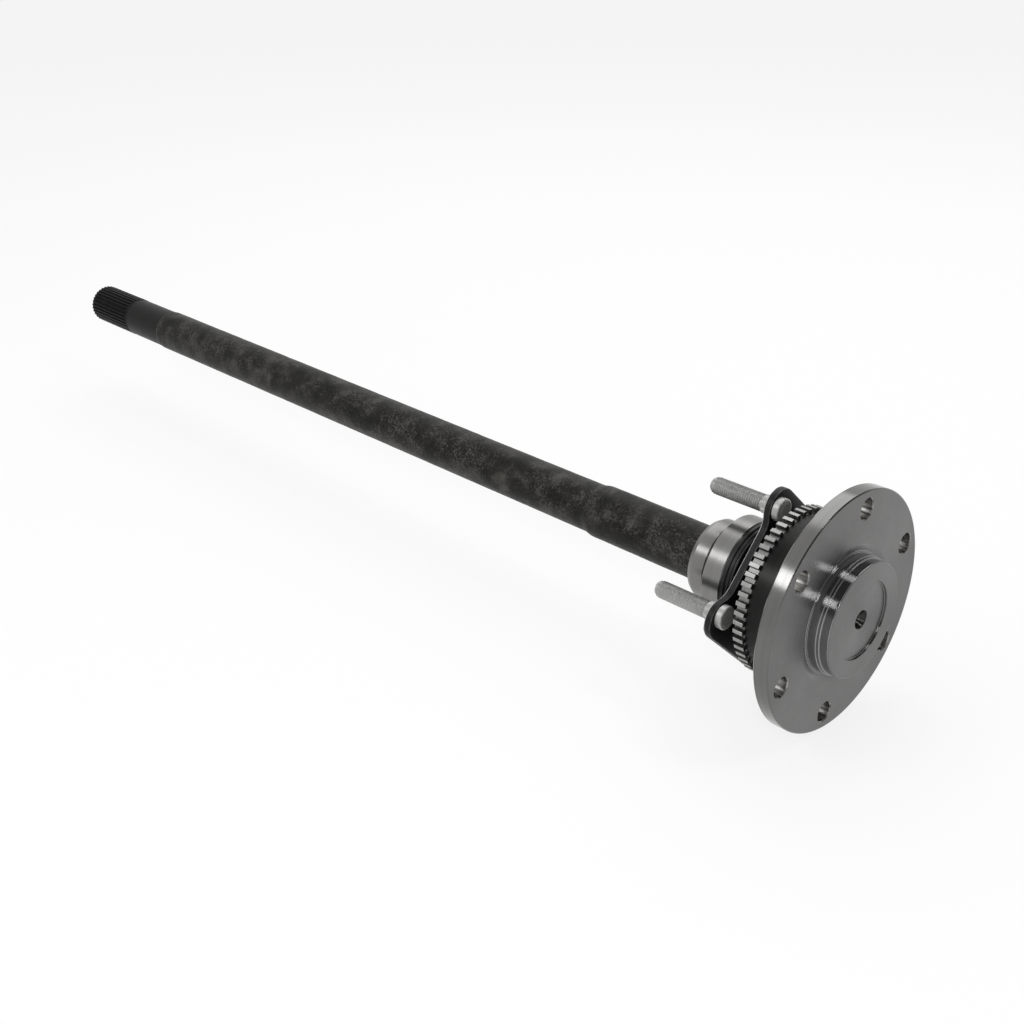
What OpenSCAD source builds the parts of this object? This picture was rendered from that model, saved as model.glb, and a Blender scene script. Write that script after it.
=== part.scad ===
// Semi-floating rear axle shaft with wheel flange, sensor tone ring, retainer plate and roller bearing.
// The axle lies along X with the wheel side at +X. The origin is the centre of the wheel face.

/* [Wheel flange] */
// Metal left between a stud hole and the rim
flange_rim = 5.55; // [3:0.05:10]
// Thickness of the flange
flange_t = 10.8; // [7:0.1:14]
// Chamfer on both rims of the flange
flange_chamfer = 0.8; // [0.3:0.1:1.5]
// Number of wheel stud holes
stud_count = 6; // [4:1:8]
// Pitch circle diameter of the stud holes
stud_pcd = 139.7; // [130:0.1:170]
// Diameter of a stud hole
stud_hole_d = 13.8; // [10:0.1:16]
// Chamfer at the mouth of a stud hole
stud_hole_chamfer = 0.7; // [0.2:0.1:1.2]
// Angle of the first stud hole from Y towards Z
stud_roll = 18.8; // [0:0.1:60]

/* [Pilot] */
// Diameter of the band that centres the brake rotor
rotor_pilot_d = 80.4; // [79:0.1:90]
// Height of the rotor band above the wheel face
rotor_pilot_h = 5.1; // [4:0.1:12]
// Width of the narrow shoulder between rotor pilot and wheel pilot
shoulder_w = 2; // [1:0.1:4]
// Drop in radius from the rotor pilot to the shoulder
shoulder_drop = 0.6; // [0.6:0.1:1.5]
// Drop in radius from the shoulder to the wheel pilot
wheel_drop = 0.7; // [0.6:0.1:4]
// Height of the wheel band above the shoulder
wheel_pilot_h = 6.1; // [4:0.1:12]
// Chamfer on the front edge of each band
pilot_chamfer = 0.4; // [0.3:0.1:0.5]
// Radius by which the pilot's foot is larger than the rotor pilot
foot_step = 1.5; // [1:0.1:3]
// Depth of the foot's face below the wheel face
foot_drop = 1.1; // [0.6:0.1:1.4]
// Width of the relief turned in the wheel face round the pilot
relief_w = 2.6; // [2.6:0.1:4]
// Depth of that relief
relief_depth = 2.2; // [2:0.1:2.5]
// Diameter of the shallow recess in the end face
recess_d = 53.4; // [40:0.2:60]
// Depth of that recess
recess_depth = 1.7; // [0.5:0.1:3]
// Drill diameter of the lathe centres
centre_d = 7.6; // [4:0.1:10]
// Drilled depth of the lathe centres
centre_depth = 15; // [10:0.5:25]
// Diameter of the countersink of the lathe centres
countersink_d = 13; // [11:0.5:18]

/* [Hub] */
// Diameter of the hub behind the flange
hub_d = 109.8; // [106:0.2:112]
// Length of the hub from the flange to the tone ring
hub_w = 26; // [20:0.5:34]
// Fillet between hub and flange
hub_fillet = 3; // [1:0.5:5]
// Diameter of the seal journal
journal_d = 50.8; // [48:0.2:54]
// Width of the flat back face inside the tone ring, before the dish starts
dish_step = 5; // [2:0.5:8]
// Depth of the dished back of the hub
dish_w = 6; // [3:0.5:9]
// Fillet between the dish and the journal
neck_fillet = 4; // [2:0.5:6]

/* [Tone ring] */
// Number of teeth
ring_teeth = 55; // [40:1:70]
// Outside diameter over the teeth
ring_d = 115; // [113:0.2:122]
// Height of a tooth
tooth_h = 2.6; // [1.5:0.1:3.5]
// Share of the pitch that a tooth takes at its tip
tooth_share = 0.42; // [0.35:0.01:0.55]
// Share of the pitch that a gap takes at its floor
gap_share = 0.42; // [0.3:0.01:0.5]
// Width of the ring
ring_w = 7.4; // [5:0.1:10]
// Wall of the ring under its teeth, pressed on the hub
ring_wall = 3.9; // [2.5:0.1:6]
// Angle of one tooth from Y towards Z
ring_roll = 132.5; // [0:0.1:360]

/* [Retainer plate] */
// Thickness of the plate
plate_t = 5; // [4:0.5:8]
// Distance from the plate to the seal
plate_gap = 4.1; // [1:0.1:8]
// Metal from a bolt's axis to the straight end of the plate
ear_end = 15.3; // [13:0.1:20]
// Metal from a bolt's axis to the side of its ear
ear_side = 8.9; // [7.5:0.1:14]
// Radius of the ears
ear_r = 13.5; // [12.5:0.5:16]
// Depth of the waist between the ears
waist_depth = 9.2; // [4:0.1:12]
// Radius of the hollow corner between ear and waist
waist_r = 14; // [8:0.5:18]
// Angle of the first bolt from Y towards Z
plate_roll = 0; // [0:0.5:90]

/* [Retainer bolts] */
// Pitch circle diameter of the bolts
bolt_pcd = 109.4; // [100:0.2:125]
// Outside diameter of the thread
bolt_d = 11.9; // [10:0.1:12]
// Length under the head
bolt_len = 50.6; // [40:0.2:70]
// Diameter of the head
head_d = 16; // [15:0.2:20]
// Height of the head
head_h = 5.3; // [4:0.1:7]
// Distance from the tone ring to the heads
head_gap = 5.5; // [2:0.1:12]
// Rounding of the head's edges
head_round = 1.4; // [0.6:0.1:1.8]
// Height of the knurled neck, pressed in the plate, above the thread
knurl_h = 0.35; // [0.1:0.05:0.8]
// Length of the knurled neck that stands out of the plate
knurl_out = 5.5; // [1:0.5:8]
// Chamfer at the tip of the thread
tip_chamfer = 1.5; // [0.5:0.1:2.5]

/* [Seal] */
// Width of the seal's outer wall
seal_w = 7; // [6:0.1:8]
// Step from the outside of the cup down to the seal's ribs
seal_step = 0.7; // [0.2:0.1:1.5]
// Depth of the groove between the ribs
seal_groove = 1.1; // [0.5:0.1:1.5]
// Thickness of the seal's pressed walls
seal_wall = 1.5; // [1.2:0.1:2]
// Radial play between the seal's spigot and the plate
spigot_play = 0.25; // [0.1:0.05:0.4]
// Depth of the spigot in the plate
spigot_depth = 3; // [1:0.5:4]
// Radial height of the rubber from the lips to the case
lip_h = 2.8; // [2.4:0.1:4]
// Running gap between the lips and the journal
lip_gap = 0.05; // [0.02:0.01:0.1]
// Wire diameter of the garter spring
garter_d = 1.6; // [1.2:0.1:1.8]

/* [Bearing] */
// Bore of the inner ring
bearing_bore = 41.275; // [40:0.005:44]
// Outside diameter of the cup
cup_d = 73.43; // [72.4:0.01:76]
// Width of the cup
cup_w = 14.73; // [14:0.01:16]
// Width of the inner ring
cone_w = 19.81; // [19:0.01:22]
// Distance between the outer faces of inner ring and cup
bearing_w = 19.56; // [18.8:0.01:21]
// Edge chamfer on the cup and the inner ring
race_chamfer = 0.9; // [0.4:0.1:1.3]
// Number of rollers
roller_count = 18; // [14:1:18]
// Diameter of a roller at the middle of its length
roller_d = 7.3; // [6.6:0.1:7.6]
// Length of a roller
roller_len = 11.6; // [10.5:0.1:11.8]
// How much less than midway between bore and outside the rollers' circle is, on diameter
roller_inset = 0.75; // [0:0.05:1.5]
// Angle between a roller's axis and the axle
roller_tilt = 13; // [11:0.5:14]
// Distance of the rollers' middles from the outboard face of the cup
roller_at = 8; // [7.8:0.1:8.4]
// Running gap between rollers and rings
roller_play = 0.03; // [0.02:0.01:0.06]
// Height of the wide rib above the raceway
wide_rib_h = 1.1; // [0.6:0.1:2]
// Height of the narrow rib above the raceway
narrow_rib_h = 1; // [0.6:0.1:1.2]
// Thickness of the cage's sheet
cage_t = 1.1; // [0.8:0.1:1.2]
// Gap between a roller and its window in the cage
cage_play = 0.2; // [0.1:0.05:0.3]

/* [Lock collar] */
// Outside diameter of the collar
collar_d = 56.8; // [52:0.2:62]
// Width of the collar
collar_w = 13.6; // [10:0.1:20]
// Length of the collar's inboard taper
collar_taper = 3.4; // [2:0.1:5]
// Height of that taper
collar_drop = 1.9; // [1:0.1:2.5]

/* [Shaft] */
// Distance from the wheel face to the splined end
shaft_len = 863.8; // [780:0.1:960]
// Diameter of the forged root next to the collar
root_d = 38.6; // [37:0.1:40]
// Length of the forged root from the collar to its taper
root_len = 96; // [40:0.5:200]
// Length of the taper from the root to the shaft
root_taper = 8; // [2:0.5:10]
// Diameter of the forged shaft
shaft_d = 35.8; // [35:0.1:36.8]
// Step from the spline's tips down to the turned band before it
turned_step = 0.22; // [0:0.02:0.6]
// Length of the turned band
turned_len = 52; // [30:1:80]
// Length of the taper from the shaft to the turned band
turned_taper = 2; // [1:0.5:6]

/* [Spline] */
// Number of spline teeth
spline_teeth = 32; // [24:1:36]
// Module of the spline: its pitch diameter for each tooth
spline_module = 1.0583; // [0.9:0.0001:1.3]
// Height of a spline tooth above the pitch circle
spline_addendum = 0.49; // [0.3:0.01:0.7]
// Depth of a spline gap below the pitch circle
spline_dedendum = 0.885; // [0.6:0.005:1.2]
// Pressure angle of the involute flanks
spline_pressure = 30; // [25:1:37]
// Length of the spline
spline_len = 63; // [40:1:90]
// Chamfer at the end of the spline
spline_chamfer = 1.4; // [1:0.1:3]
// Diameter of the hob that cuts the spline, which shapes its run-out
hob_d = 50; // [30:1:80]

/* [Hidden] */
$fn = 96;
over = 1;
press_gap = 0.01;
flank_steps = 4;
bolt_count = 4;

roller_numbers = [for (i = [1 : roller_count]) i];
roller_names = [for (i = roller_numbers) str("roller_", i < 10 ? "0" : "", i)];

// Stations along the axle, outboard positive
shoulder_face = rotor_pilot_h + shoulder_w;
pilot_face = shoulder_face + wheel_pilot_h;
hub_back = -flange_t - hub_w;
ring_back = hub_back - ring_w;
plate_front = ring_back - head_gap - head_h;
plate_back = plate_front - plate_t;
seal_front = plate_back - plate_gap;
cup_front = seal_front - seal_w;
cone_back = cup_front - bearing_w;
cone_front = cone_back + cone_w;
collar_back = cone_back - collar_w;
root_end = collar_back - root_len;
shaft_end = -shaft_len;
spline_start = shaft_end + spline_len;
turned_start = spline_start + turned_len;
dish_back = ring_back - dish_w;
centre_tip = centre_d / 2 / tan(59);
countersink_depth = (countersink_d - centre_d) / 2 / tan(30);

// Diameters that follow from others
flange_d = stud_pcd + stud_hole_d + 2 * flange_rim;
shoulder_d = rotor_pilot_d - 2 * shoulder_drop;
wheel_pilot_d = shoulder_d - 2 * wheel_drop;
foot_d = rotor_pilot_d + 2 * foot_step;
roller_pcd = (bearing_bore + cup_d) / 2 - roller_inset;
seal_d = cup_d - 2 * seal_step;

// Seats that fit each other
seat_d = bearing_bore - 2 * press_gap;
ring_bore_d = ring_d - 2 * (tooth_h + ring_wall);
ring_seat_d = ring_bore_d - 2 * press_gap;
dish_d = ring_seat_d - 2 * dish_step;
knurl_d = bolt_d + 2 * knurl_h;
knurl_len = plate_t + knurl_out;
bolt_hole_d = knurl_d + 2 * press_gap;
lip_d = journal_d + 2 * lip_gap;
spigot_d = lip_d + 2 * (lip_h + seal_wall);
plate_bore_d = spigot_d + 2 * spigot_play;

// Plate outline round the bolts, in its own axes across and along
bolt_u = bolt_pcd / 2 * cos(180 / bolt_count);
plate_w = 2 * (bolt_u + ear_side);
plate_h = 2 * (bolt_u + ear_end);
waist_w = plate_w - 2 * waist_depth;
ear_u = plate_w / 2 - ear_r;
ear_v = plate_h / 2 - ear_r;

// Roller cones meet in one point on the axle, at apex_at outboard of the rollers' middles
roller_mid = cup_front - roller_at;
apex_at = roller_pcd / 2 / tan(roller_tilt);
apex = roller_mid + apex_at;
mid_slant = roller_pcd / 2 / sin(roller_tilt);
half_taper = atan(roller_d / 2 / mid_slant);
cup_angle = roller_tilt + half_taper;
cone_angle = roller_tilt - half_taper;
small_slant = mid_slant - roller_len / 2;
large_slant = mid_slant + roller_len / 2;
function roller_radius(slant) = slant * tan(half_taper);

// Lower edge of a roller's end face: [radius from the axle, station along it]
function lower_edge(slant) = [
    slant * sin(roller_tilt) - roller_radius(slant) * cos(roller_tilt),
    apex - slant * cos(roller_tilt) - roller_radius(slant) * sin(roller_tilt)];
small_edge = lower_edge(small_slant);
large_edge = lower_edge(large_slant);
rib_gap = 0.15;
wide_rib_lean = wide_rib_h * tan(roller_tilt);
narrow_rib_lean = narrow_rib_h * tan(roller_tilt);

// Spline diameters, the core under its teeth, and the length over which the hob leaves the metal
spline_pitch_d = spline_teeth * spline_module;
spline_d = spline_pitch_d + 2 * spline_addendum;
spline_root_d = spline_pitch_d - 2 * spline_dedendum;
turned_d = spline_d - 2 * turned_step;
spline_core_r = spline_root_d / 2 - spline_chamfer / 2;
runout_rise = turned_d / 2 - spline_root_d / 2;
runout_len = sqrt(hob_d * runout_rise - pow(runout_rise, 2));

// Involute flank: half the angle of a tooth at a radius
base_r = spline_pitch_d / 2 * cos(spline_pressure);
function involute(angle) = tan(angle) * 180 / PI - angle;
function tooth_half_angle(r) =
    90 / spline_teeth + involute(spline_pressure) - involute(acos(base_r / r));

// Turns a shape drawn along Z so that it lies along the axle: x to Y, y to Z, z to X
module along_axle() {
    rotate([90, 0, 90]) children();
}

// Turns a profile of [radius, station] points round the axle
module turned() {
    along_axle() rotate_extrude() children();
}

// Fillet in the corner at [r, z], open towards positive r and towards dir along z
module corner_fillet(r, z, radius, dir) {
    difference() {
        translate([r, dir > 0 ? z : z - radius]) square(radius);
        translate([r + radius, z + dir * radius]) circle(radius);
    }
}

// Rising floor that the round hob leaves where the spline gaps end
module spline_runout() {
    difference() {
        translate([spline_core_r, spline_start - runout_len])
            square([turned_d / 2 - spline_core_r, runout_len]);
        translate([spline_root_d / 2 + hob_d / 2, spline_start - runout_len]) circle(hob_d / 2);
    }
}

// Half section of the whole forging, without stud holes and spline teeth
module shaft_section() {
    polygon([
        [0, pilot_face - centre_depth - centre_tip],
        [centre_d / 2, pilot_face - centre_depth],
        [centre_d / 2, pilot_face - recess_depth - countersink_depth],
        [countersink_d / 2, pilot_face - recess_depth],
        [recess_d / 2, pilot_face - recess_depth],
        [recess_d / 2, pilot_face],
        [wheel_pilot_d / 2 - pilot_chamfer, pilot_face],
        [wheel_pilot_d / 2, pilot_face - pilot_chamfer],
        [wheel_pilot_d / 2, shoulder_face],
        [shoulder_d / 2 - pilot_chamfer, shoulder_face],
        [shoulder_d / 2, shoulder_face - pilot_chamfer],
        [shoulder_d / 2, rotor_pilot_h],
        [rotor_pilot_d / 2 - pilot_chamfer, rotor_pilot_h],
        [rotor_pilot_d / 2, rotor_pilot_h - pilot_chamfer],
        [rotor_pilot_d / 2, -foot_drop],
        [foot_d / 2 - pilot_chamfer, -foot_drop],
        [foot_d / 2, -foot_drop - pilot_chamfer],
        [foot_d / 2, -relief_depth],
        [foot_d / 2 + relief_w - relief_depth, -relief_depth],
        [foot_d / 2 + relief_w, 0],
        [flange_d / 2 - flange_chamfer, 0],
        [flange_d / 2, -flange_chamfer],
        [flange_d / 2, flange_chamfer - flange_t],
        [flange_d / 2 - flange_chamfer, -flange_t],
        [hub_d / 2, -flange_t],
        [hub_d / 2, hub_back],
        [ring_seat_d / 2, hub_back],
        [ring_seat_d / 2, ring_back],
        [dish_d / 2, ring_back],
        [journal_d / 2 + neck_fillet, dish_back],
        [journal_d / 2, dish_back],
        [journal_d / 2, cone_front],
        [seat_d / 2, cone_front],
        [seat_d / 2, collar_back],
        [root_d / 2, collar_back],
        [root_d / 2, root_end],
        [shaft_d / 2, root_end - root_taper],
        [shaft_d / 2, turned_start + turned_taper],
        [turned_d / 2, turned_start],
        [turned_d / 2, spline_start],
        [spline_core_r, spline_start],
        [spline_core_r, shaft_end],
        [countersink_d / 2, shaft_end],
        [centre_d / 2, shaft_end + countersink_depth],
        [centre_d / 2, shaft_end + centre_depth],
        [0, shaft_end + centre_depth + centre_tip]]);
    corner_fillet(hub_d / 2, -flange_t, hub_fillet, -1);
    corner_fillet(journal_d / 2, dish_back, neck_fillet, -1);
    spline_runout();
}

// Gap between two spline teeth, with involute flanks
module spline_gap() {
    rise = spline_d / 2 - spline_root_d / 2 + over;
    radii = [for (i = [0 : flank_steps]) spline_root_d / 2 + rise * i / flank_steps];
    half = [for (r = radii) 180 / spline_teeth - tooth_half_angle(r)];
    right = [for (i = [0 : flank_steps]) radii[i] * [cos(half[i]), -sin(half[i])]];
    left = [for (i = [flank_steps : -1 : 0]) radii[i] * [cos(half[i]), sin(half[i])]];
    polygon(concat(right, left));
}

// Toothed sleeve of the spline, chamfered at its end
module spline_sleeve() {
    intersection() {
        along_axle() translate([0, 0, shaft_end]) linear_extrude(spline_len) difference() {
            circle(spline_d / 2);
            circle(spline_core_r - over);
            for (i = [0 : spline_teeth - 1]) rotate(i * 360 / spline_teeth) spline_gap();
        }
        turned() polygon([
            [0, shaft_end],
            [spline_d / 2 - spline_chamfer, shaft_end],
            [spline_d / 2, shaft_end + spline_chamfer],
            [spline_d / 2, spline_start],
            [0, spline_start]]);
    }
}

// One wheel stud hole with a chamfered mouth on both faces
module stud_hole() {
    mouth = stud_hole_chamfer + over;
    translate([0, 0, -flange_t - over]) cylinder(d = stud_hole_d, h = flange_t + 2 * over);
    translate([0, 0, -stud_hole_chamfer])
        cylinder(d1 = stud_hole_d, d2 = stud_hole_d + 2 * mouth, h = mouth);
    translate([0, 0, -flange_t - over])
        cylinder(d1 = stud_hole_d + 2 * mouth, d2 = stud_hole_d, h = mouth);
}

module axle_shaft() {
    color("dimgray") difference() {
        union() {
            turned() shaft_section();
            spline_sleeve();
        }
        along_axle() for (i = [0 : stud_count - 1])
            rotate(stud_roll + i * 360 / stud_count) translate([stud_pcd / 2, 0, 0]) stud_hole();
    }
}

// Gap between two ring teeth, narrower at its floor
module ring_gap() {
    pitch = 360 / ring_teeth;
    floor_r = ring_d / 2 - tooth_h;
    top_r = ring_d / 2 + over;
    floor_half = pitch * gap_share / 2;
    mouth_half = pitch * (1 - tooth_share) / 2;
    top_half = mouth_half + (mouth_half - floor_half) * over / tooth_h;
    polygon([
        floor_r * [cos(floor_half), -sin(floor_half)],
        top_r * [cos(top_half), -sin(top_half)],
        top_r * [cos(top_half), sin(top_half)],
        floor_r * [cos(floor_half), sin(floor_half)]]);
}

module tone_ring() {
    pitch = 360 / ring_teeth;
    color("silver") along_axle() translate([0, 0, ring_back]) linear_extrude(ring_w) difference() {
        circle(ring_d / 2);
        circle(ring_bore_d / 2);
        for (i = [0 : ring_teeth - 1]) rotate(ring_roll + (i + 0.5) * pitch) ring_gap();
    }
}

// Hollow corner that blends one ear into the waist
module waist_blend() {
    u = waist_w / 2 + waist_r;
    v = ear_v - sqrt(pow(ear_r + waist_r, 2) - pow(u - ear_u, 2));
    difference() {
        polygon([[waist_w / 2, v], [u, v], [ear_u, ear_v], [ear_u, v]]);
        translate([u, v]) circle(waist_r);
    }
}

module plate_outline() {
    square([2 * ear_u, plate_h], center = true);
    square([waist_w, 2 * ear_v], center = true);
    for (side = [0, 1], end = [0, 1]) mirror([side, 0]) mirror([0, end]) {
        translate([ear_u, ear_v]) circle(ear_r);
        waist_blend();
    }
}

// Places a child at each retainer bolt
module at_bolts() {
    for (i = [0 : bolt_count - 1])
        rotate(plate_roll + i * 360 / bolt_count) translate([bolt_pcd / 2, 0]) children();
}

module retainer_plate() {
    color("#262628") along_axle() translate([0, 0, plate_back]) linear_extrude(plate_t) difference() {
        rotate(plate_roll - 180 / bolt_count) plate_outline();
        circle(plate_bore_d / 2);
        at_bolts() circle(bolt_hole_d / 2);
    }
}

// Half section of a bolt: its head sits on the plate and its thread points inboard
module bolt_section() {
    tip = plate_front - bolt_len;
    head_r = head_d / 2;
    polygon([
        [0, plate_front + head_h],
        [0, tip],
        [bolt_d / 2 - tip_chamfer, tip],
        [bolt_d / 2, tip + tip_chamfer],
        [bolt_d / 2, plate_front - knurl_len],
        [knurl_d / 2, plate_front - knurl_len],
        [knurl_d / 2, plate_front],
        [head_r - head_round, plate_front],
        [head_r - head_round, plate_front + head_round],
        [head_r, plate_front + head_round],
        [head_r, plate_front + head_h - head_round],
        [head_r - head_round, plate_front + head_h - head_round],
        [head_r - head_round, plate_front + head_h]]);
    translate([head_r - head_round, plate_front + head_round]) circle(head_round);
    translate([head_r - head_round, plate_front + head_h - head_round]) circle(head_round);
}

module retainer_bolts() {
    color("darkgray") along_axle() at_bolts() rotate_extrude() bolt_section();
}

module seal_case() {
    rib_r = seal_d / 2;
    inner_r = rib_r - seal_groove - seal_wall;
    spigot_end = plate_back + spigot_depth;
    color("#1c1c1c") turned() polygon([
        [rib_r, cup_front],
        [inner_r, cup_front],
        [inner_r, seal_front - seal_wall],
        [spigot_d / 2 - seal_wall, seal_front - seal_wall],
        [spigot_d / 2 - seal_wall, spigot_end],
        [spigot_d / 2, spigot_end],
        [spigot_d / 2, seal_front],
        [rib_r - seal_groove, seal_front],
        [rib_r - seal_groove, cup_front + 0.75 * seal_w],
        [rib_r - 0.4 * seal_groove, cup_front + 0.75 * seal_w],
        [rib_r - 0.4 * seal_groove, cup_front + 0.55 * seal_w],
        [rib_r - seal_groove, cup_front + 0.55 * seal_w],
        [rib_r - seal_groove, cup_front + 0.35 * seal_w],
        [rib_r, cup_front + 0.35 * seal_w]]);
}

// Rubber element moulded in the case: a sealing lip under the spring and a dust lip outboard of it
module seal_lip() {
    lip_r = lip_d / 2;
    root_r = spigot_d / 2 - seal_wall;
    lip_back = seal_front - seal_wall;
    spring_z = lip_back - 1.3 * garter_d;
    spring_r = root_r - 0.5 * garter_d;
    color("#141414") turned() difference() {
        polygon([
            [root_r, lip_back],
            [root_r, lip_back + 2 * seal_wall],
            [lip_r + 0.6, lip_back + 2 * seal_wall],
            [lip_r, lip_back + seal_wall],
            [lip_r + 0.8, lip_back],
            [lip_r, spring_z],
            [lip_r + 0.8, spring_z - garter_d],
            [spring_r, spring_z - garter_d],
            [root_r, lip_back - 0.2 * garter_d]]);
        translate([spring_r, spring_z]) circle(garter_d / 2);
    }
}

module garter_spring() {
    spring_z = seal_front - seal_wall - 1.3 * garter_d;
    spring_r = spigot_d / 2 - seal_wall - 0.5 * garter_d;
    color("gainsboro") turned()
        translate([spring_r, spring_z]) circle(garter_d / 2 - press_gap);
}

module bearing_cup() {
    front_r = (apex - cup_front) * tan(cup_angle);
    back_r = (apex - cup_front + cup_w) * tan(cup_angle);
    color("lightgray") turned() polygon([
        [front_r, cup_front],
        [cup_d / 2 - race_chamfer, cup_front],
        [cup_d / 2, cup_front - race_chamfer],
        [cup_d / 2, cup_front - cup_w + race_chamfer],
        [cup_d / 2 - race_chamfer, cup_front - cup_w],
        [back_r, cup_front - cup_w]]);
}

module bearing_cone() {
    bore_r = bearing_bore / 2;
    narrow_r = small_edge[0] + narrow_rib_h;
    rib_r = large_edge[0] + wide_rib_h;
    narrow_z = small_edge[1] + narrow_rib_lean + rib_gap;
    color("lightgray") turned() polygon([
        [bore_r + race_chamfer, cone_back],
        [bore_r, cone_back + race_chamfer],
        [bore_r, cone_front - race_chamfer],
        [bore_r + race_chamfer, cone_front],
        [narrow_r, cone_front],
        [narrow_r, narrow_z],
        [(apex - narrow_z) * tan(cone_angle), narrow_z],
        [(apex - large_edge[1] + rib_gap) * tan(cone_angle), large_edge[1] - rib_gap],
        [rib_r, large_edge[1] - rib_gap + wide_rib_lean],
        [rib_r, cone_back + race_chamfer],
        [rib_r - race_chamfer, cone_back]]);
}

// Places a child on the axis of roller i, with its z axis along the roller, apex at its origin
module on_roller_axis(i) {
    along_axle() rotate(i * 360 / roller_count) translate([0, 0, apex])
        rotate([0, 180 - roller_tilt, 0]) children();
}

module roller(i) {
    color("whitesmoke") on_roller_axis(i) translate([0, 0, small_slant])
        cylinder(
            r1 = roller_radius(small_slant) - roller_play,
            r2 = roller_radius(large_slant) - roller_play,
            h = roller_len);
}

// Window of the cage round one roller: a flat-sided opening that widens as the roller does
module cage_window() {
    small_half = roller_radius(small_slant) + cage_play;
    large_half = roller_radius(large_slant) + cage_play;
    rotate([0, 90, 0]) translate([0, 0, -roller_d]) linear_extrude(2 * roller_d) polygon([
        [-small_slant + cage_play, -small_half],
        [-large_slant - cage_play, -large_half],
        [-large_slant - cage_play, large_half],
        [-small_slant + cage_play, small_half]]);
}

// Pressed cage: a conical sheet just outside the rollers' axes, turned in at its narrow end
module bearing_cage() {
    lift = 0.25 * roller_d;
    front = small_edge[1] + roller_d * sin(roller_tilt) + cage_play + cage_t;
    back = large_edge[1] - cage_play - cage_t;
    function sheet_r(z) = (apex - z) * tan(roller_tilt) + lift;
    narrow_r = sheet_r(front) - 0.45 * roller_d;
    color("goldenrod") difference() {
        turned() polygon([
            [narrow_r, front],
            [sheet_r(front) + cage_t, front],
            [sheet_r(back) + cage_t, back],
            [sheet_r(back), back],
            [sheet_r(front - cage_t), front - cage_t],
            [narrow_r, front - cage_t]]);
        for (i = [1 : roller_count]) on_roller_axis(i) cage_window();
    }
}

module lock_collar() {
    bore_r = bearing_bore / 2;
    color("silver") turned() polygon([
        [bore_r, cone_back],
        [collar_d / 2 - race_chamfer, cone_back],
        [collar_d / 2, cone_back - race_chamfer],
        [collar_d / 2, collar_back + collar_taper],
        [collar_d / 2 - collar_drop, collar_back],
        [bore_r, collar_back]]);
}

axle_shaft();
tone_ring();
retainer_plate();
retainer_bolts();
seal_case();
seal_lip();
garter_spring();
bearing_cup();
bearing_cone();
bearing_cage();
lock_collar();
for (i = roller_numbers) roller(i);
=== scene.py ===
"""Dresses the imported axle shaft: turned, forged and plated finishes, fine edges, threads and a studio."""

import logging
import math
from dataclasses import dataclass
from enum import Enum, IntEnum
from typing import Callable, Sequence

import bmesh
import bpy
from mathutils import Matrix, Vector, noise


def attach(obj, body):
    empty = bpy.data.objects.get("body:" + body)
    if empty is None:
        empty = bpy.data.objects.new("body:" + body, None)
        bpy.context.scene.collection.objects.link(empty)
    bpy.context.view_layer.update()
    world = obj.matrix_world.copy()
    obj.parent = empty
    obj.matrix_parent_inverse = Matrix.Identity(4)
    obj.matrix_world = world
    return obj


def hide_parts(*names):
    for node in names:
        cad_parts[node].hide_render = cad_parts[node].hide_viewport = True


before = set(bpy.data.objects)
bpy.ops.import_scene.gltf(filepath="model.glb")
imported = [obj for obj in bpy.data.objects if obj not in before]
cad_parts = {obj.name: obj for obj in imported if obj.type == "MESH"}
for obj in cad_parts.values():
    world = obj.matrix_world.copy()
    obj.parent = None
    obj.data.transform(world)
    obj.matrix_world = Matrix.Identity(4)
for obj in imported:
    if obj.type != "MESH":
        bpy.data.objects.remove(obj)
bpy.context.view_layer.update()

LOG = logging.getLogger("axle_shaft")

# Units and angles
MM = 0.001
MM_PER_M = 1000.0
TURN = 2.0 * math.pi
SHARP_ANGLE = math.radians(33.0)
CRISP_ANGLE = math.radians(14.0)

# Distances at which points merge (m)
MERGE = 1e-7
DEGENERATE = 1e-8
SEAM_MERGE = 2e-6

# Radius below which a profile's point lies on the axle, and loops beside roundings (mm)
AXIS_R = 1e-6
SUPPORT = 0.3
SUPPORT_ROOM = 3.0 * SUPPORT
# Largest share of a side that a rounding takes
ROUND_SHARE = 0.48

# Share of the normal along the axle above which a face counts as flat
FLAT = 0.97
# Average of a noise pattern
NOISE_MEAN = 0.5

# Stations and radii that two or more pieces share (mm)
COLLAR_END = -104.26
SPLINE_START = -800.8
TURNED_R = 17.205
RING_FRONT = -36.8
RING_BACK = -44.2
PLATE_FRONT = -55.0
PLATE_T = 5.0
BOLT_CIRCLE_R = 54.7

Point = tuple[float, float]
Place = tuple[float, float, float]
Colour = tuple[float, float, float]


class Body(Enum):
    """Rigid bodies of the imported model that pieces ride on."""

    FIXED = "fixed_set"
    SHAFT = "shaft_set"


class FlangeSlot(IntEnum):
    """Finishes of the wheel end, in the order of its material slots."""

    FACE = 0
    BAND = 1
    RIM = 2
    HUB = 3
    # Painted shade in the centre hole
    CENTRE = 4
    EDGE = 5


class PlateSlot(IntEnum):
    """Finishes of the plate, in the order of its material slots."""

    PAINT = 0
    # Edges: worn or rubbed paint with painted highlights
    WORN_HIGHLIGHT = 1
    RUBBED_SHEEN = 2


# Mesh tools


@dataclass(frozen=True)
class Corner:
    """One corner of a turned profile in millimetres: station, radius and rounding."""

    x: float
    r: float
    round: float = 0.0


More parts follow.
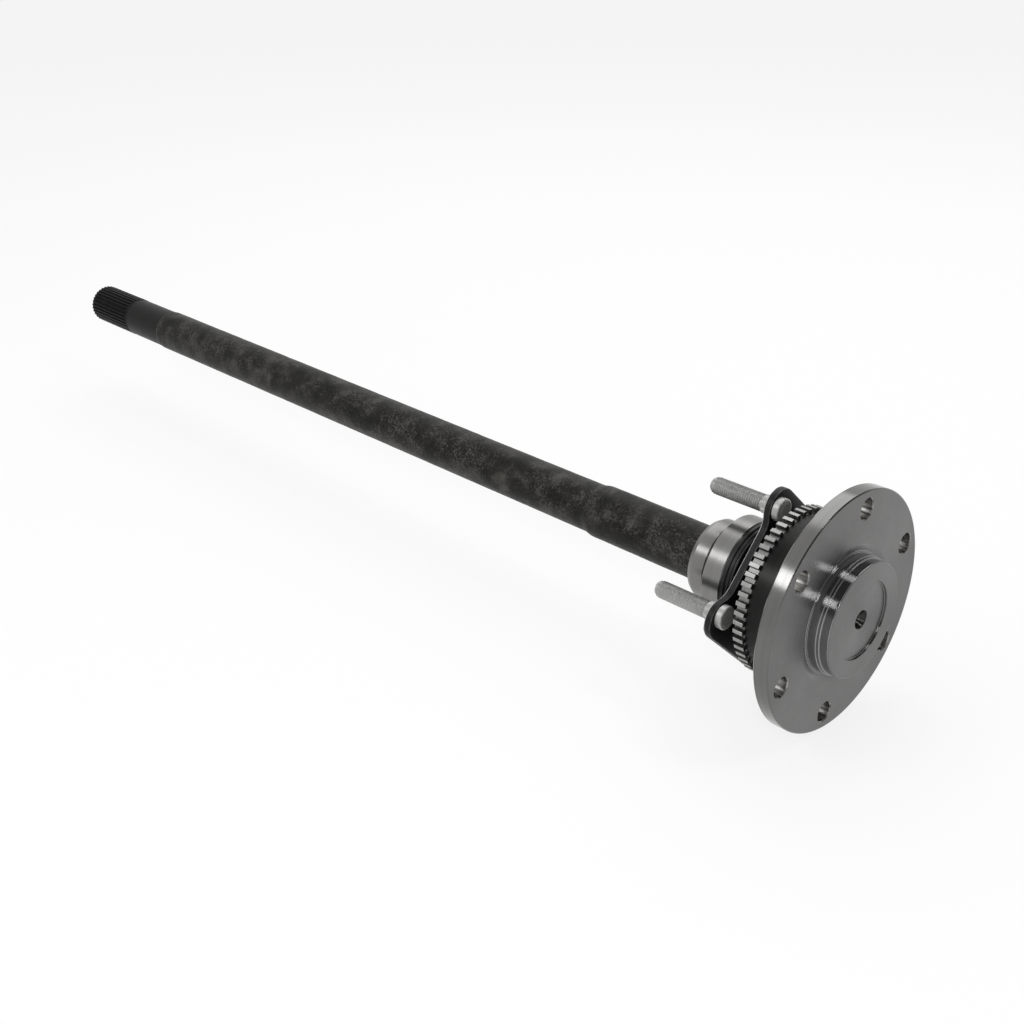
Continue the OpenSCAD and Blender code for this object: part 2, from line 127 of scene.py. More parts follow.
def rounded_profile(corners: Sequence[Corner], closed: bool = False, steps: int = 4) -> list[Point]:
    """Rounds the corners of a profile and adds loops beside them that keep flat faces flat.

    Args:
        corners: corners in order along the profile.
        closed: whether the last corner joins the first.
        steps: segments of each rounding.

    Returns:
        Points of [station, radius] in millimetres.
    """
    count = len(corners)
    points: list[Point] = []
    for i, corner in enumerate(corners):
        here = Vector((corner.x, corner.r))
        ends = not closed and i in (0, count - 1)
        if corner.round <= 0.0 or ends:
            points.append((corner.x, corner.r))
            continue
        before = Vector((corners[i - 1].x, corners[i - 1].r)) - here
        after = Vector((corners[(i + 1) % count].x, corners[(i + 1) % count].r)) - here
        to_before, to_after = before.normalized(), after.normalized()
        half = 0.5 * to_before.angle(to_after)
        reach = min(corner.round / math.tan(half), ROUND_SHARE * before.length, ROUND_SHARE * after.length)
        radius = reach * math.tan(half)
        centre = here + (to_before + to_after).normalized() * (radius / math.sin(half))
        first, last = here + to_before * reach, here + to_after * reach
        if before.length - reach > SUPPORT_ROOM:
            points.append(tuple(first + to_before * SUPPORT))
        start, stop = (first - centre).normalized(), (last - centre).normalized()
        sweep = start.angle(stop)
        for k in range(steps + 1):
            share = k / steps
            spoke = math.sin((1.0 - share) * sweep) * start + math.sin(share * sweep) * stop
            points.append(tuple(centre + spoke * (radius / math.sin(sweep))))
        if after.length - reach > SUPPORT_ROOM:
            points.append(tuple(last + to_after * SUPPORT))
    return points


def finish_mesh(mesh: bpy.types.Mesh, angle: float = SHARP_ANGLE) -> bpy.types.Mesh:
    """Merges doubles, turns faces outwards and shades smooth up to an angle.

    Args:
        mesh: mesh to finish in place.
        angle: edges that bend more than this stay sharp.

    Returns:
        The same mesh.
    """
    work = bmesh.new()
    work.from_mesh(mesh)
    bmesh.ops.remove_doubles(work, verts=work.verts, dist=MERGE)
    bmesh.ops.dissolve_degenerate(work, edges=work.edges, dist=DEGENERATE)
    bmesh.ops.recalc_face_normals(work, faces=work.faces)
    work.to_mesh(mesh)
    work.free()
    mesh.shade_smooth()
    mesh.set_sharp_from_angle(angle=angle)
    return mesh


def lathe(name: str, profile: Sequence[Point], segments: int, closed: bool = False) -> bpy.types.Mesh:
    """Turns a profile round the axle.

    Args:
        name: name of the mesh.
        profile: points of [station, radius] in millimetres.
        segments: steps round the axle.
        closed: whether the profile is a loop, as for a ring.

    Returns:
        A closed mesh in metres.
    """
    verts: list[Place] = []
    rows: list[list[int]] = []
    for x, r in profile:
        first = len(verts)
        if r < AXIS_R:
            verts.append((x * MM, 0.0, 0.0))
            rows.append([first] * segments)
            continue
        for k in range(segments):
            angle = TURN * k / segments
            verts.append((x * MM, r * MM * math.cos(angle), r * MM * math.sin(angle)))
        rows.append(list(range(first, first + segments)))
    pairs = list(zip(rows, rows[1:]))
    if closed:
        pairs.append((rows[-1], rows[0]))
    faces: list[tuple[int, ...]] = []
    for near, far in pairs:
        for k in range(segments):
            j = (k + 1) % segments
            loop = dict.fromkeys((near[k], near[j], far[j], far[k]))
            if len(loop) > 2:
                faces.append(tuple(loop))
    mesh = bpy.data.meshes.new(name)
    mesh.from_pydata(verts, [], faces)
    return finish_mesh(mesh)


def whole_tooth(left: Sequence[Point], tip_r: float) -> list[Point]:
    """Returns a tooth as [angle, radius] from its left half and the radius of its tip."""
    return [*left, (0.0, tip_r), *((-angle, r) for angle, r in reversed(left))]


def sector_mesh(name: str, rows: Sequence[Sequence[Place]], closed: bool = False) -> bpy.types.Mesh:
    """Skins rows of points into one tooth's sector, open at its two sides.

    Args:
        name: name of the mesh.
        rows: rows of points in millimetres, all of one length.
        closed: whether the last row joins the first.

    Returns:
        The finished mesh, in metres.
    """
    width = len(rows[0])
    verts = [tuple(c * MM for c in point) for row in rows for point in row]
    pairs = [(i, i + 1) for i in range(len(rows) - 1)]
    if closed:
        pairs.append((len(rows) - 1, 0))
    faces = [
        (i * width + k, i * width + k + 1, j * width + k + 1, j * width + k)
        for i, j in pairs for k in range(width - 1)]
    mesh = bpy.data.meshes.new(name)
    mesh.from_pydata(verts, [], faces)
    return finish_mesh(mesh)


def add_piece(
        name: str, mesh: bpy.types.Mesh, materials: Sequence[bpy.types.Material] = ()) -> bpy.types.Object:
    """Puts a mesh in the scene as a piece at the origin.

    Args:
        name: name of the piece.
        mesh: finished mesh, with its place in its vertices.
        materials: materials of the mesh's slots, in order.

    Returns:
        The new object.
    """
    for material in materials:
        mesh.materials.append(material)
    piece = bpy.data.objects.new(name, mesh)
    bpy.context.scene.collection.objects.link(piece)
    return piece


def evaluated_mesh(piece: bpy.types.Object) -> bpy.types.Mesh:
    """Makes a plain mesh of a piece with its modifiers applied.

    Args:
        piece: object to read.

    Returns:
        The new mesh.
    """
    bpy.context.view_layer.update()
    graph = bpy.context.evaluated_depsgraph_get()
    return bpy.data.meshes.new_from_object(piece.evaluated_get(graph), depsgraph=graph)


def apply_modifiers(piece: bpy.types.Object, angle: float = SHARP_ANGLE) -> None:
    """Bakes a piece's modifiers into its mesh.

    Args:
        piece: object to bake in place.
        angle: edges that bend more than this stay sharp.
    """
    mesh = evaluated_mesh(piece)
    piece.modifiers.clear()
    piece.data = finish_mesh(mesh, angle)


def paint_faces(mesh: bpy.types.Mesh, rule: Callable[[float, float, float], int]) -> None:
    """Gives each face a material slot from where it lies.

    Args:
        mesh: mesh whose slots are in place.
        rule: takes a face's station, radius (mm) and the share of its normal along the axle.
    """
    for face in mesh.polygons:
        centre = face.center / MM
        radius = max(math.hypot(v.co.y, v.co.z) for v in (mesh.vertices[i] for i in face.vertices)) / MM
        face.material_index = rule(centre.x, radius, face.normal.x)


def place(piece: bpy.types.Object, body: Body, slot: str, *nodes: str) -> bpy.types.Object:
    """Rides a piece on its body and hides the nodes that it stands for.

    Args:
        piece: finished object.
        body: body that carries it.
        slot: not used.
        nodes: nodes that the piece replaces.

    Returns:
        The same object.
    """
    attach(piece, body.value)
    if nodes:
        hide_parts(*nodes)
    LOG.info("%s: %d faces on %s", piece.name, len(piece.data.polygons), body.value)
    return piece


# Node trees


class Wiring:
    """A node tree, with short calls that add and join its nodes."""

    def __init__(self, tree: bpy.types.NodeTree) -> None:
        """Takes the tree to work on."""
        self.tree = tree

    def join(self, source: bpy.types.NodeSocket, target: bpy.types.NodeSocket) -> None:
        """Links two sockets."""
        self.tree.links.new(source, target)

    def feed(self, value: object, target: bpy.types.NodeSocket) -> None:
        """Links a socket, or sets a plain value.

        Args:
            value: socket to link, or value to set.
            target: input that takes it.
        """
        if isinstance(value, bpy.types.NodeSocket):
            self.join(value, target)
        else:
            target.default_value = value

    def node(self, kind: str, **inputs: object) -> bpy.types.Node:
        """Adds a node and feeds its inputs.

        Args:
            kind: type of the node.
            inputs: sockets or values by input name, with underscores for spaces.

        Returns:
            The new node.
        """
        node = self.tree.nodes.new(kind)
        for key, value in inputs.items():
            self.feed(value, node.inputs[key.replace("_", " ")])
        return node

    def math(self, operation: str, a: object, b: object = 0.0) -> bpy.types.NodeSocket:
        """Adds a math node.

        Args:
            operation: what it does.
            a: first socket or number.
            b: second socket or number.

        Returns:
            The result.
        """
        node = self.node("ShaderNodeMath")
        node.operation = operation
        self.feed(a, node.inputs[0])
        self.feed(b, node.inputs[1])
        return node.outputs[0]

    def vector(self, x: object = 0.0, y: object = 0.0, z: object = 0.0) -> bpy.types.NodeSocket:
        """Returns a vector from three sockets or numbers."""
        return self.node("ShaderNodeCombineXYZ", X=x, Y=y, Z=z).outputs[0]

    def spread(
            self, value: bpy.types.NodeSocket, low: float, high: float,
            start: float = 0.3, stop: float = 0.7, smooth: bool = False) -> bpy.types.NodeSocket:
        """Maps a value from one range to another, held at the ends.

        Args:
            value: socket to map.
            low: result at the start.
            high: result at the stop.
            start: where the mapped range begins.
            stop: where the mapped range ends.
            smooth: whether the ends are eased.

        Returns:
            The mapped value.
        """
        node = self.node(
            "ShaderNodeMapRange", Value=value, From_Min=start, From_Max=stop, To_Min=low, To_Max=high)
        if smooth:
            node.interpolation_type = "SMOOTHSTEP"
        return node.outputs["Result"]


class Sheet(Wiring):
    """Node tree of one material, with short calls for the patterns that the finishes share."""

    def __init__(self, name: str) -> None:
        """Starts a material that holds only an output and a surface shader.

        Args:
            name: name of the material.
        """
        self.material = bpy.data.materials.new(name)
        self.material.use_nodes = True
        super().__init__(self.material.node_tree)
        self.tree.nodes.clear()
        self.shader = self.node("ShaderNodeBsdfPrincipled")
        self.node("ShaderNodeOutputMaterial", Surface=self.shader.outputs["BSDF"])
        self.coords = self.node("ShaderNodeTexCoord").outputs["Object"]

    def noise(
            self, vector: bpy.types.NodeSocket, scale: float,
            detail: float = 3.0, rough: float = 0.55) -> bpy.types.NodeSocket:
        """Adds a noise pattern.

        Args:
            vector: coordinates in metres.
            scale: patches for each metre.
            detail: layers of finer noise.
            rough: strength of each finer layer.

        Returns:
            The pattern, from 0 to 1.
        """
        pattern = self.node("ShaderNodeTexNoise", Vector=vector, Scale=scale, Detail=detail, Roughness=rough)
        return pattern.outputs["Fac"]

    def lanes(self) -> bpy.types.NodeSocket:
        """Makes coordinates that run along and away from the axle and stay the same round it.

        Returns:
            The coordinates.
        """
        x, y, z = self.node("ShaderNodeSeparateXYZ", Vector=self.coords).outputs
        squares = self.math("ADD", self.math("MULTIPLY", y, y), self.math("MULTIPLY", z, z))
        return self.vector(x, self.math("SQRT", squares))

    def turned_tangent(self) -> None:
        """Lays the shader's brushing direction round the axle."""
        _, y, z = self.node("ShaderNodeSeparateXYZ", Vector=self.coords).outputs
        round_axle = self.vector(0.0, self.math("MULTIPLY", z, -1.0), y)
        world = self.node("ShaderNodeVectorTransform")
        world.vector_type, world.convert_from, world.convert_to = "VECTOR", "OBJECT", "WORLD"
        self.join(round_axle, world.inputs[0])
        unit = self.node("ShaderNodeVectorMath")
        unit.operation = "NORMALIZE"
        self.join(world.outputs[0], unit.inputs[0])
        self.join(unit.outputs[0], self.shader.inputs["Tangent"])

    def stretched(self, along: float) -> bpy.types.NodeSocket:
        """Makes coordinates whose patterns are drawn out along the axle.

        Args:
            along: how many times longer a patch is.

        Returns:
            The coordinates.
        """
        node = self.node("ShaderNodeVectorMath")
        node.operation = "MULTIPLY"
        self.join(self.coords, node.inputs[0])
        node.inputs[1].default_value = (1.0 / along, 1.0, 1.0)
        return node.outputs[0]

    def paint(self, value: bpy.types.NodeSocket, stops: Sequence[float], colours: Sequence[Colour]) -> None:
        """Colours the shader by a value.

        Args:
            value: pattern that picks the colour.
            stops: values at which the colours stand, rising.
            colours: one colour for each stop.
        """
        node = self.node("ShaderNodeValToRGB")
        elements = node.color_ramp.elements
        while len(elements) < len(stops):
            elements.new(NOISE_MEAN)
        for element, stop, colour in zip(elements, stops, colours):
            element.position = stop
            element.color = (*colour, 1.0)
        self.join(value, node.inputs[0])
        self.join(node.outputs["Color"], self.shader.inputs["Base Color"])

    def roughen(self, value: bpy.types.NodeSocket, roughness: float, spread: float) -> None:
        """Spreads the shader's roughness to both sides of a level by a pattern."""
        self.join(self.spread(value, roughness - spread, roughness + spread), self.shader.inputs["Roughness"])

    def bump(self, height: bpy.types.NodeSocket, distance: float) -> None:
        """Tilts the shader's normal by a pattern of heights, with its distance in metres."""
        node = self.node("ShaderNodeBump", Strength=1.0, Distance=distance, Height=height)
        self.join(node.outputs["Normal"], self.shader.inputs["Normal"])

    def constant(self, **values: float) -> None:
        """Sets plain numbers on the shader, with underscores for spaces in a socket's name."""
        for key, number in values.items():
            self.shader.inputs[key.replace("_", " ")].default_value = number


class NodePlan(Wiring):
    """A geometry node tree under construction, with named inputs."""

    def __init__(self, name: str, inputs: Sequence[tuple[str, str]]) -> None:
        """Starts a tree that takes a geometry and the named inputs.

        Args:
            name: name of the tree.
            inputs: pairs of input name and socket type.
        """
        super().__init__(bpy.data.node_groups.new(name, "GeometryNodeTree"))
        self.tree.is_modifier = True
        sockets = self.tree.interface
        sockets.new_socket("Geometry", in_out="INPUT", socket_type="NodeSocketGeometry")
        for label, kind in inputs:
            sockets.new_socket(label, in_out="INPUT", socket_type=f"NodeSocket{kind}")
        sockets.new_socket("Geometry", in_out="OUTPUT", socket_type="NodeSocketGeometry")
        self.given = self.tree.nodes.new("NodeGroupInput").outputs
        self.result = self.tree.nodes.new("NodeGroupOutput").inputs

    def array(self, shape: bpy.types.NodeSocket, count: object, start: object) -> bpy.types.NodeSocket:
        """Repeats a shape round the axle in even steps.

        Args:
            shape: geometry to repeat.
            count: number of copies.
            start: angle of the first copy.

        Returns:
            The instances.
        """
        points = self.node("GeometryNodeMeshLine", Count=count, Offset=(0.0, 0.0, 0.0))
        index = self.node("GeometryNodeInputIndex").outputs[0]
        angle = self.math("ADD", self.math("MULTIPLY", index, self.math("DIVIDE", TURN, count)), start)
        copies = self.node(
            "GeometryNodeInstanceOnPoints",
            Points=points.outputs[0], Instance=shape, Rotation=self.vector(angle))
        return copies.outputs[0]

    def close(self, shape: bpy.types.NodeSocket, merge: float) -> bpy.types.NodeTree:
        """Ends the tree: real meshes, merged seams and one finish.

        Args:
            shape: last geometry.
            merge: distance in metres at which points merge.

        Returns:
            The finished tree.
        """
        real = self.node("GeometryNodeRealizeInstances", Geometry=shape).outputs[0]
        joined = self.node("GeometryNodeMergeByDistance", Geometry=real, Distance=merge).outputs[0]
        dressed = self.node("GeometryNodeSetMaterial", Geometry=joined, Material=self.given["Finish"])
        self.join(dressed.outputs[0], self.result["Geometry"])
        return self.tree


def polar_tree() -> bpy.types.NodeTree:
    """Makes the tree that repeats one sector round the axle and merges the seams.

    Returns:
        The tree.
    """
    inputs = [("Count", "Int"), ("Start Angle", "Float"), ("Finish", "Material")]
    plan = NodePlan("sector_round_axle", inputs)
    copies = plan.array(plan.given["Geometry"], plan.given["Count"], plan.given["Start Angle"])
    return plan.close(copies, SEAM_MERGE)


def bolt_tree(ridge_sides: int = 4, helix_steps: int = 36) -> bpy.types.NodeTree:
    """Makes the tree that threads and knurls one bolt and repeats it on a circle.

    Args:
        ridge_sides: sides of the thread's section.
        helix_steps: steps of the thread for each turn.

    Returns:
        The tree.
    """
    plan = NodePlan("threaded_bolts", [
        ("Count", "Int"), ("Circle Radius", "Float"), ("Start Angle", "Float"),
        ("Thread Start", "Float"), ("Thread Turns", "Float"), ("Thread Pitch", "Float"),
        ("Thread Radius", "Float"), ("Thread Height", "Float"), ("Lead Turns", "Float"),
        ("Knurl Count", "Int"), ("Knurl Middle", "Float"), ("Knurl Length", "Float"),
        ("Knurl Radius", "Float"), ("Knurl Width", "Float"), ("Finish", "Material")])
    given = plan.given
    ridge = plan.node(
        "GeometryNodeCurvePrimitiveCircle", Resolution=ridge_sides, Radius=given["Thread Height"])
    crest = plan.math("SUBTRACT", given["Thread Radius"], given["Thread Height"])
    length = plan.math("MULTIPLY", given["Thread Turns"], given["Thread Pitch"])
    lead = plan.math("MULTIPLY", given["Lead Turns"], given["Thread Pitch"])
    inner = plan.math("SUBTRACT", crest, given["Thread Height"])

    def helix(turns: object, end_r: object, height: object, along: object) -> bpy.types.NodeSocket:
        """Makes one threaded ridge that runs inboard from a station.

        Args:
            turns: number of turns.
            end_r: radius of its far end; it starts at the crest's.
            height: length along the bolt.
            along: station where it starts.

        Returns:
            The ridge as a closed mesh.
        """
        path = plan.node(
            "GeometryNodeCurveSpiral", Resolution=helix_steps, Rotations=turns, Start_Radius=crest,
            End_Radius=end_r, Height=height)
        upright = plan.node("GeometryNodeSetCurveNormal", Curve=path.outputs[0])
        upright.mode = "Z_UP"
        solid = plan.node(
            "GeometryNodeCurveToMesh", Curve=upright.outputs[0],
            Profile_Curve=ridge.outputs[0], Fill_Caps=True)
        moved = plan.node(
            "GeometryNodeTransform", Geometry=solid.outputs[0],
            Translation=plan.vector(along), Rotation=plan.vector(0.0, -0.25 * TURN))
        return moved.outputs[0]

    main = helix(given["Thread Turns"], crest, length, given["Thread Start"])
    tip = helix(given["Lead Turns"], inner, lead, plan.math("SUBTRACT", given["Thread Start"], length))
    size = plan.vector(given["Knurl Length"], given["Knurl Width"], given["Knurl Width"])
    tooth = plan.node("GeometryNodeMeshCube", Size=size)
    rib = plan.node(
        "GeometryNodeTransform", Geometry=tooth.outputs[0],
        Translation=plan.vector(given["Knurl Middle"], given["Knurl Radius"]),
        Rotation=plan.vector(0.125 * TURN))
    ribs = plan.node(
        "GeometryNodeRealizeInstances", Geometry=plan.array(rib.outputs[0], given["Knurl Count"], 0.0))
    whole = plan.node("GeometryNodeJoinGeometry")
    for part in (given["Geometry"], main, tip, ribs.outputs[0]):
        plan.join(part, whole.inputs[0])
    moved = plan.node(
        "GeometryNodeTransform", Geometry=whole.outputs[0],
        Translation=plan.vector(0.0, given["Circle Radius"]))
    return plan.close(plan.array(moved.outputs[0], given["Count"], given["Start Angle"]), MERGE)


def grow(piece: bpy.types.Object, tree: bpy.types.NodeTree, angle: float, **inputs: object) -> None:
    """Runs a node tree on a piece and keeps the result as its plain mesh.

    Args:
        piece: object whose mesh the tree starts from.
        tree: geometry node tree.
        angle: edges that bend more than this stay sharp.
        inputs: values of the named inputs, with underscores for spaces.
    """
    modifier = piece.modifiers.new(tree.name, "NODES")
    modifier.node_group = tree
    named = {
        item.name: item.identifier for item in tree.interface.items_tree
        if item.item_type == "SOCKET" and item.in_out == "INPUT"}
    for key, value in inputs.items():
        modifier[named[key.replace("_", " ")]] = value
    apply_modifiers(piece, angle)


# Finishes


@dataclass(frozen=True)
class TurnedSteel:
    """Steel with fine grooves round the axle, as a lathe or grinder leaves it (mm)."""

    name: str
    dark: Colour
    light: Colour
    roughness: float
    spread: float = 0.05
    groove: float = 0.4
    depth: float = 0.002
    cloud: float = 14.0
    anisotropy: float = 0.6
    banding: float = 0.4
    bands_per_groove: float = 0.12
    stops: tuple[float, ...] = (0.32, 0.68)

    def build(self) -> bpy.types.Material:
        """Makes the finish.

        Returns:
            The material.
        """
        sheet = Sheet(self.name)
        lanes = sheet.lanes()
        fine = sheet.noise(lanes, 1.0 / (self.groove * MM), detail=4.0, rough=0.7)
        bands = sheet.noise(lanes, self.bands_per_groove / (self.groove * MM), detail=2.0)
        clouds = sheet.noise(sheet.coords, MM_PER_M / self.cloud, detail=4.0)
        banded = sheet.math("MULTIPLY", bands, self.banding)
        clouded = sheet.math("MULTIPLY", clouds, 1.0 - self.banding)
        sheet.paint(sheet.math("ADD", banded, clouded), self.stops, (self.dark, self.light))
        sheet.turned_tangent()
        sheet.roughen(fine, self.roughness, self.spread)
        sheet.constant(Metallic=1.0, Anisotropic=self.anisotropy, Anisotropic_Rotation=0.25)
        sheet.bump(fine, self.depth * MM)
        return sheet.material


@dataclass(frozen=True)
class ForgedScale:
    """Dark mill scale left by forging: mottled, pitted and a little brown (mm)."""

    name: str
    dark: Colour
    middle: Colour
    light: Colour
    roughness: float
    patch: float = 14.0
    grain: float = 1.6
    depth: float = 0.48
    metal: float = 0.35
    gloss: float = 0.18
    spread: float = 0.12
    mottle: float = 0.6
    worn_span: float = 2.5
    worn_level: float = 0.35
    worn_stops: Point = (0.4, 0.6)
    stops: tuple[float, ...] = (0.37, 0.5, 0.64)

    def build(self) -> bpy.types.Material:
        """Makes the finish.

        Returns:
            The material.
        """
        sheet = Sheet(self.name)
        patches = sheet.noise(sheet.coords, MM_PER_M / self.patch, detail=4.0, rough=0.6)
        grains = sheet.noise(sheet.coords, MM_PER_M / self.grain, rough=0.6)
        spots = sheet.noise(sheet.coords, MM_PER_M / (self.worn_span * self.patch), detail=2.0)
        worn = sheet.spread(spots, self.worn_level, 1.0, *self.worn_stops)
        speckle = sheet.math("MULTIPLY", sheet.math("SUBTRACT", grains, NOISE_MEAN), worn)
        mottled = sheet.math("MULTIPLY", patches, self.mottle)
        soft = sheet.math("ADD", mottled, NOISE_MEAN * (1.0 - self.mottle))
        shade = sheet.math("ADD", speckle, soft)
        sheet.paint(shade, self.stops, (self.dark, self.middle, self.light))
        sheet.roughen(grains, self.roughness, self.spread)
        sheet.constant(Metallic=self.metal, Specular_IOR_Level=self.gloss)
        sheet.bump(shade, self.depth * MM)
        return sheet.material


@dataclass(frozen=True)
class Coating:
    """Paint, plating, rubber or plain steel: an even colour with fine mottling and a soft grain (mm)."""

    name: str
    dark: Colour
    light: Colour
    roughness: float
    metal: float = 0.0
    patch: float = 2.5
    grain: float = 0.35
    depth: float = 0.01
    streak: float = 1.0
    gloss: float = 0.5
    spread: float = 0.07
    stops: tuple[float, ...] = (0.34, 0.66)

    def build(self) -> bpy.types.Material:
        """Makes the finish.

        Returns:
            The material.
        """
        sheet = Sheet(self.name)
        patches = sheet.noise(sheet.stretched(self.streak), MM_PER_M / self.patch, detail=4.0, rough=0.6)
        grains = sheet.noise(sheet.coords, MM_PER_M / self.grain, detail=2.0)
        sheet.paint(patches, self.stops, (self.dark, self.light))
        sheet.roughen(patches, self.roughness, self.spread)
        sheet.constant(Metallic=self.metal, Specular_IOR_Level=self.gloss)
        sheet.bump(grains, self.depth * MM)
        return sheet.material


FACE_STEEL = TurnedSteel(
    "turned_face", (0.128, 0.128, 0.1265), (0.162, 0.162, 0.16), roughness=0.28, depth=0.0005,
    cloud=40.0, anisotropy=0.9, banding=0.12)
BAND_STEEL = TurnedSteel(
    "ground_band", (0.43, 0.43, 0.436), (0.49, 0.49, 0.494), roughness=0.1, spread=0.02, groove=0.3,
    depth=0.0001, anisotropy=0.2)
EDGE_STEEL = TurnedSteel(
    "band_edge", (0.32, 0.32, 0.32), (0.38, 0.38, 0.378), roughness=0.14, spread=0.02, groove=0.3,
    depth=0.0001, anisotropy=0.2)
RIM_STEEL = TurnedSteel(
    "turned_rim", (0.135, 0.134, 0.131), (0.172, 0.171, 0.167), roughness=0.18, cloud=40.0)
HUB_STEEL = TurnedSteel(
    "hub_band", (0.016, 0.016, 0.0157), (0.025, 0.025, 0.0243), roughness=0.36, cloud=30.0)
HOLE_STEEL = Coating(
    "drilled_wall", (0.05, 0.048, 0.045), (0.4, 0.392, 0.376), roughness=0.32, metal=1.0, patch=2.4,
    depth=0.003, streak=12.0)
# Painted shade: the centre hole and its countersink are much darker than the face steel.
CENTRE_SHADE_STEEL = TurnedSteel(
    "drilled_centre_shade", (0.02, 0.02, 0.0195), (0.06, 0.06, 0.058), roughness=0.3, cloud=4.0)
SCALE_STEEL = ForgedScale(
    "forged_scale", (0.003, 0.0029, 0.0025), (0.0135, 0.0129, 0.0114), (0.062, 0.0585, 0.0515),
    roughness=0.5)
SMOOTH_STEEL = Coating(
    "smooth_band", (0.005, 0.0049, 0.0046), (0.011, 0.0107, 0.01), roughness=0.44, metal=0.3, patch=9.0,
    grain=0.5, depth=0.004, gloss=0.15)
SPLINE_STEEL = ForgedScale(
    "spline_steel", (0.001, 0.001, 0.001), (0.0022, 0.0022, 0.0021), (0.007, 0.007, 0.0067),
    roughness=0.42, patch=8.0, grain=0.9, depth=0.08, gloss=0.1)
RING_STEEL = Coating(
    "ring_steel", (0.26, 0.26, 0.256), (0.35, 0.35, 0.344), roughness=0.42, metal=1.0, patch=1.6,
    grain=0.3, depth=0.003)
# Painted shade: the walls of the ring's teeth are given a dark finish.
RING_WALL_SHADE = Coating(
    "ring_wall", (0.02, 0.02, 0.0196), (0.06, 0.06, 0.0588), roughness=0.5, metal=0.6, patch=2.2,
    grain=0.3, depth=0.003)
# Painted shade: the floors between the ring's teeth are darker than the crests of the same steel.
RING_FLOOR_SHADE = Coating(
    "ring_floor_shade", (0.19, 0.19, 0.187), (0.26, 0.26, 0.256), roughness=0.42, metal=1.0, patch=1.6,
    grain=0.3, depth=0.003)
PLATE_PAINT = Coating(
    "plate_paint", (0.003, 0.003, 0.0032), (0.011, 0.011, 0.0116), roughness=0.42, patch=1.1, grain=0.6,
    depth=0.03, gloss=0.2)
# Worn bare steel on the plate's back edges, and also a painted highlight along them.
WORN_EDGE_HIGHLIGHT = Coating(
    "worn_edge_highlight", (0.42, 0.42, 0.42), (0.66, 0.66, 0.655), roughness=0.3, metal=1.0, patch=5.0,
    grain=0.4, depth=0.003)
# Rubbed paint on the plate's front edges, a little lighter than the paint, and also a faint painted
# highlight.
RUBBED_EDGE_SHEEN = Coating(
    "rubbed_edge_sheen", (0.02, 0.02, 0.02), (0.09, 0.09, 0.09), roughness=0.42, metal=0.5, patch=5.0,
    grain=0.4, depth=0.003)
BOLT_ZINC = Coating(
    "bolt_zinc", (0.33, 0.332, 0.325), (0.42, 0.422, 0.413), roughness=0.42, metal=0.6, patch=2.2,
    grain=0.3, depth=0.001)
SEAL_BLACK = Coating(
    "seal_black", (0.005, 0.005, 0.005), (0.01, 0.01, 0.01), roughness=0.4, patch=2.0, grain=0.4,
    depth=0.006, gloss=0.3)
LIP_RUBBER = Coating(
    "lip_rubber", (0.008, 0.008, 0.008), (0.014, 0.014, 0.014), roughness=0.6, patch=2.0, grain=0.3,
    depth=0.008)
WIRE_STEEL = Coating("wire_steel", (0.3, 0.3, 0.3), (0.42, 0.42, 0.41), roughness=0.3, metal=1.0)
CUP_STEEL = TurnedSteel(
    "ground_cup", (0.2, 0.198, 0.194), (0.237, 0.235, 0.23), roughness=0.33, spread=0.04, groove=0.35,
    depth=0.0005, cloud=40.0, banding=0.6)
COLLAR_STEEL = TurnedSteel(
    "turned_collar", (0.176, 0.173, 0.169), (0.214, 0.211, 0.206), roughness=0.31, groove=0.45,
    depth=0.0008, cloud=40.0, banding=0.6)
ROLLER_STEEL = Coating(
    "roller_steel", (0.34, 0.34, 0.34), (0.42, 0.42, 0.41), roughness=0.2, metal=1.0, patch=4.0,
    grain=0.3, depth=0.002)
CAGE_STEEL = Coating(
    "cage_steel", (0.2, 0.194, 0.18), (0.29, 0.282, 0.26), roughness=0.4, metal=1.0, patch=4.0,
    grain=0.4, depth=0.006)


# Sub-assemblies


@dataclass(frozen=True)
class LatheCentre:
    """Countersunk hole for a lathe's centre, one in each end of the forging (mm)."""

    r: float = 3.8
    depth: float = 15.0
    mouth_r: float = 6.5
    mouth_half_angle: float = 30.0
    tip_half_angle: float = 59.0

    def mouth_depth(self) -> float:
        """Returns the depth of the countersink."""
        return (self.mouth_r - self.r) / math.tan(math.radians(self.mouth_half_angle))

    def tip_depth(self) -> float:
        """Returns the depth of the drill's point past the straight hole."""
        return self.r / math.tan(math.radians(self.tip_half_angle))


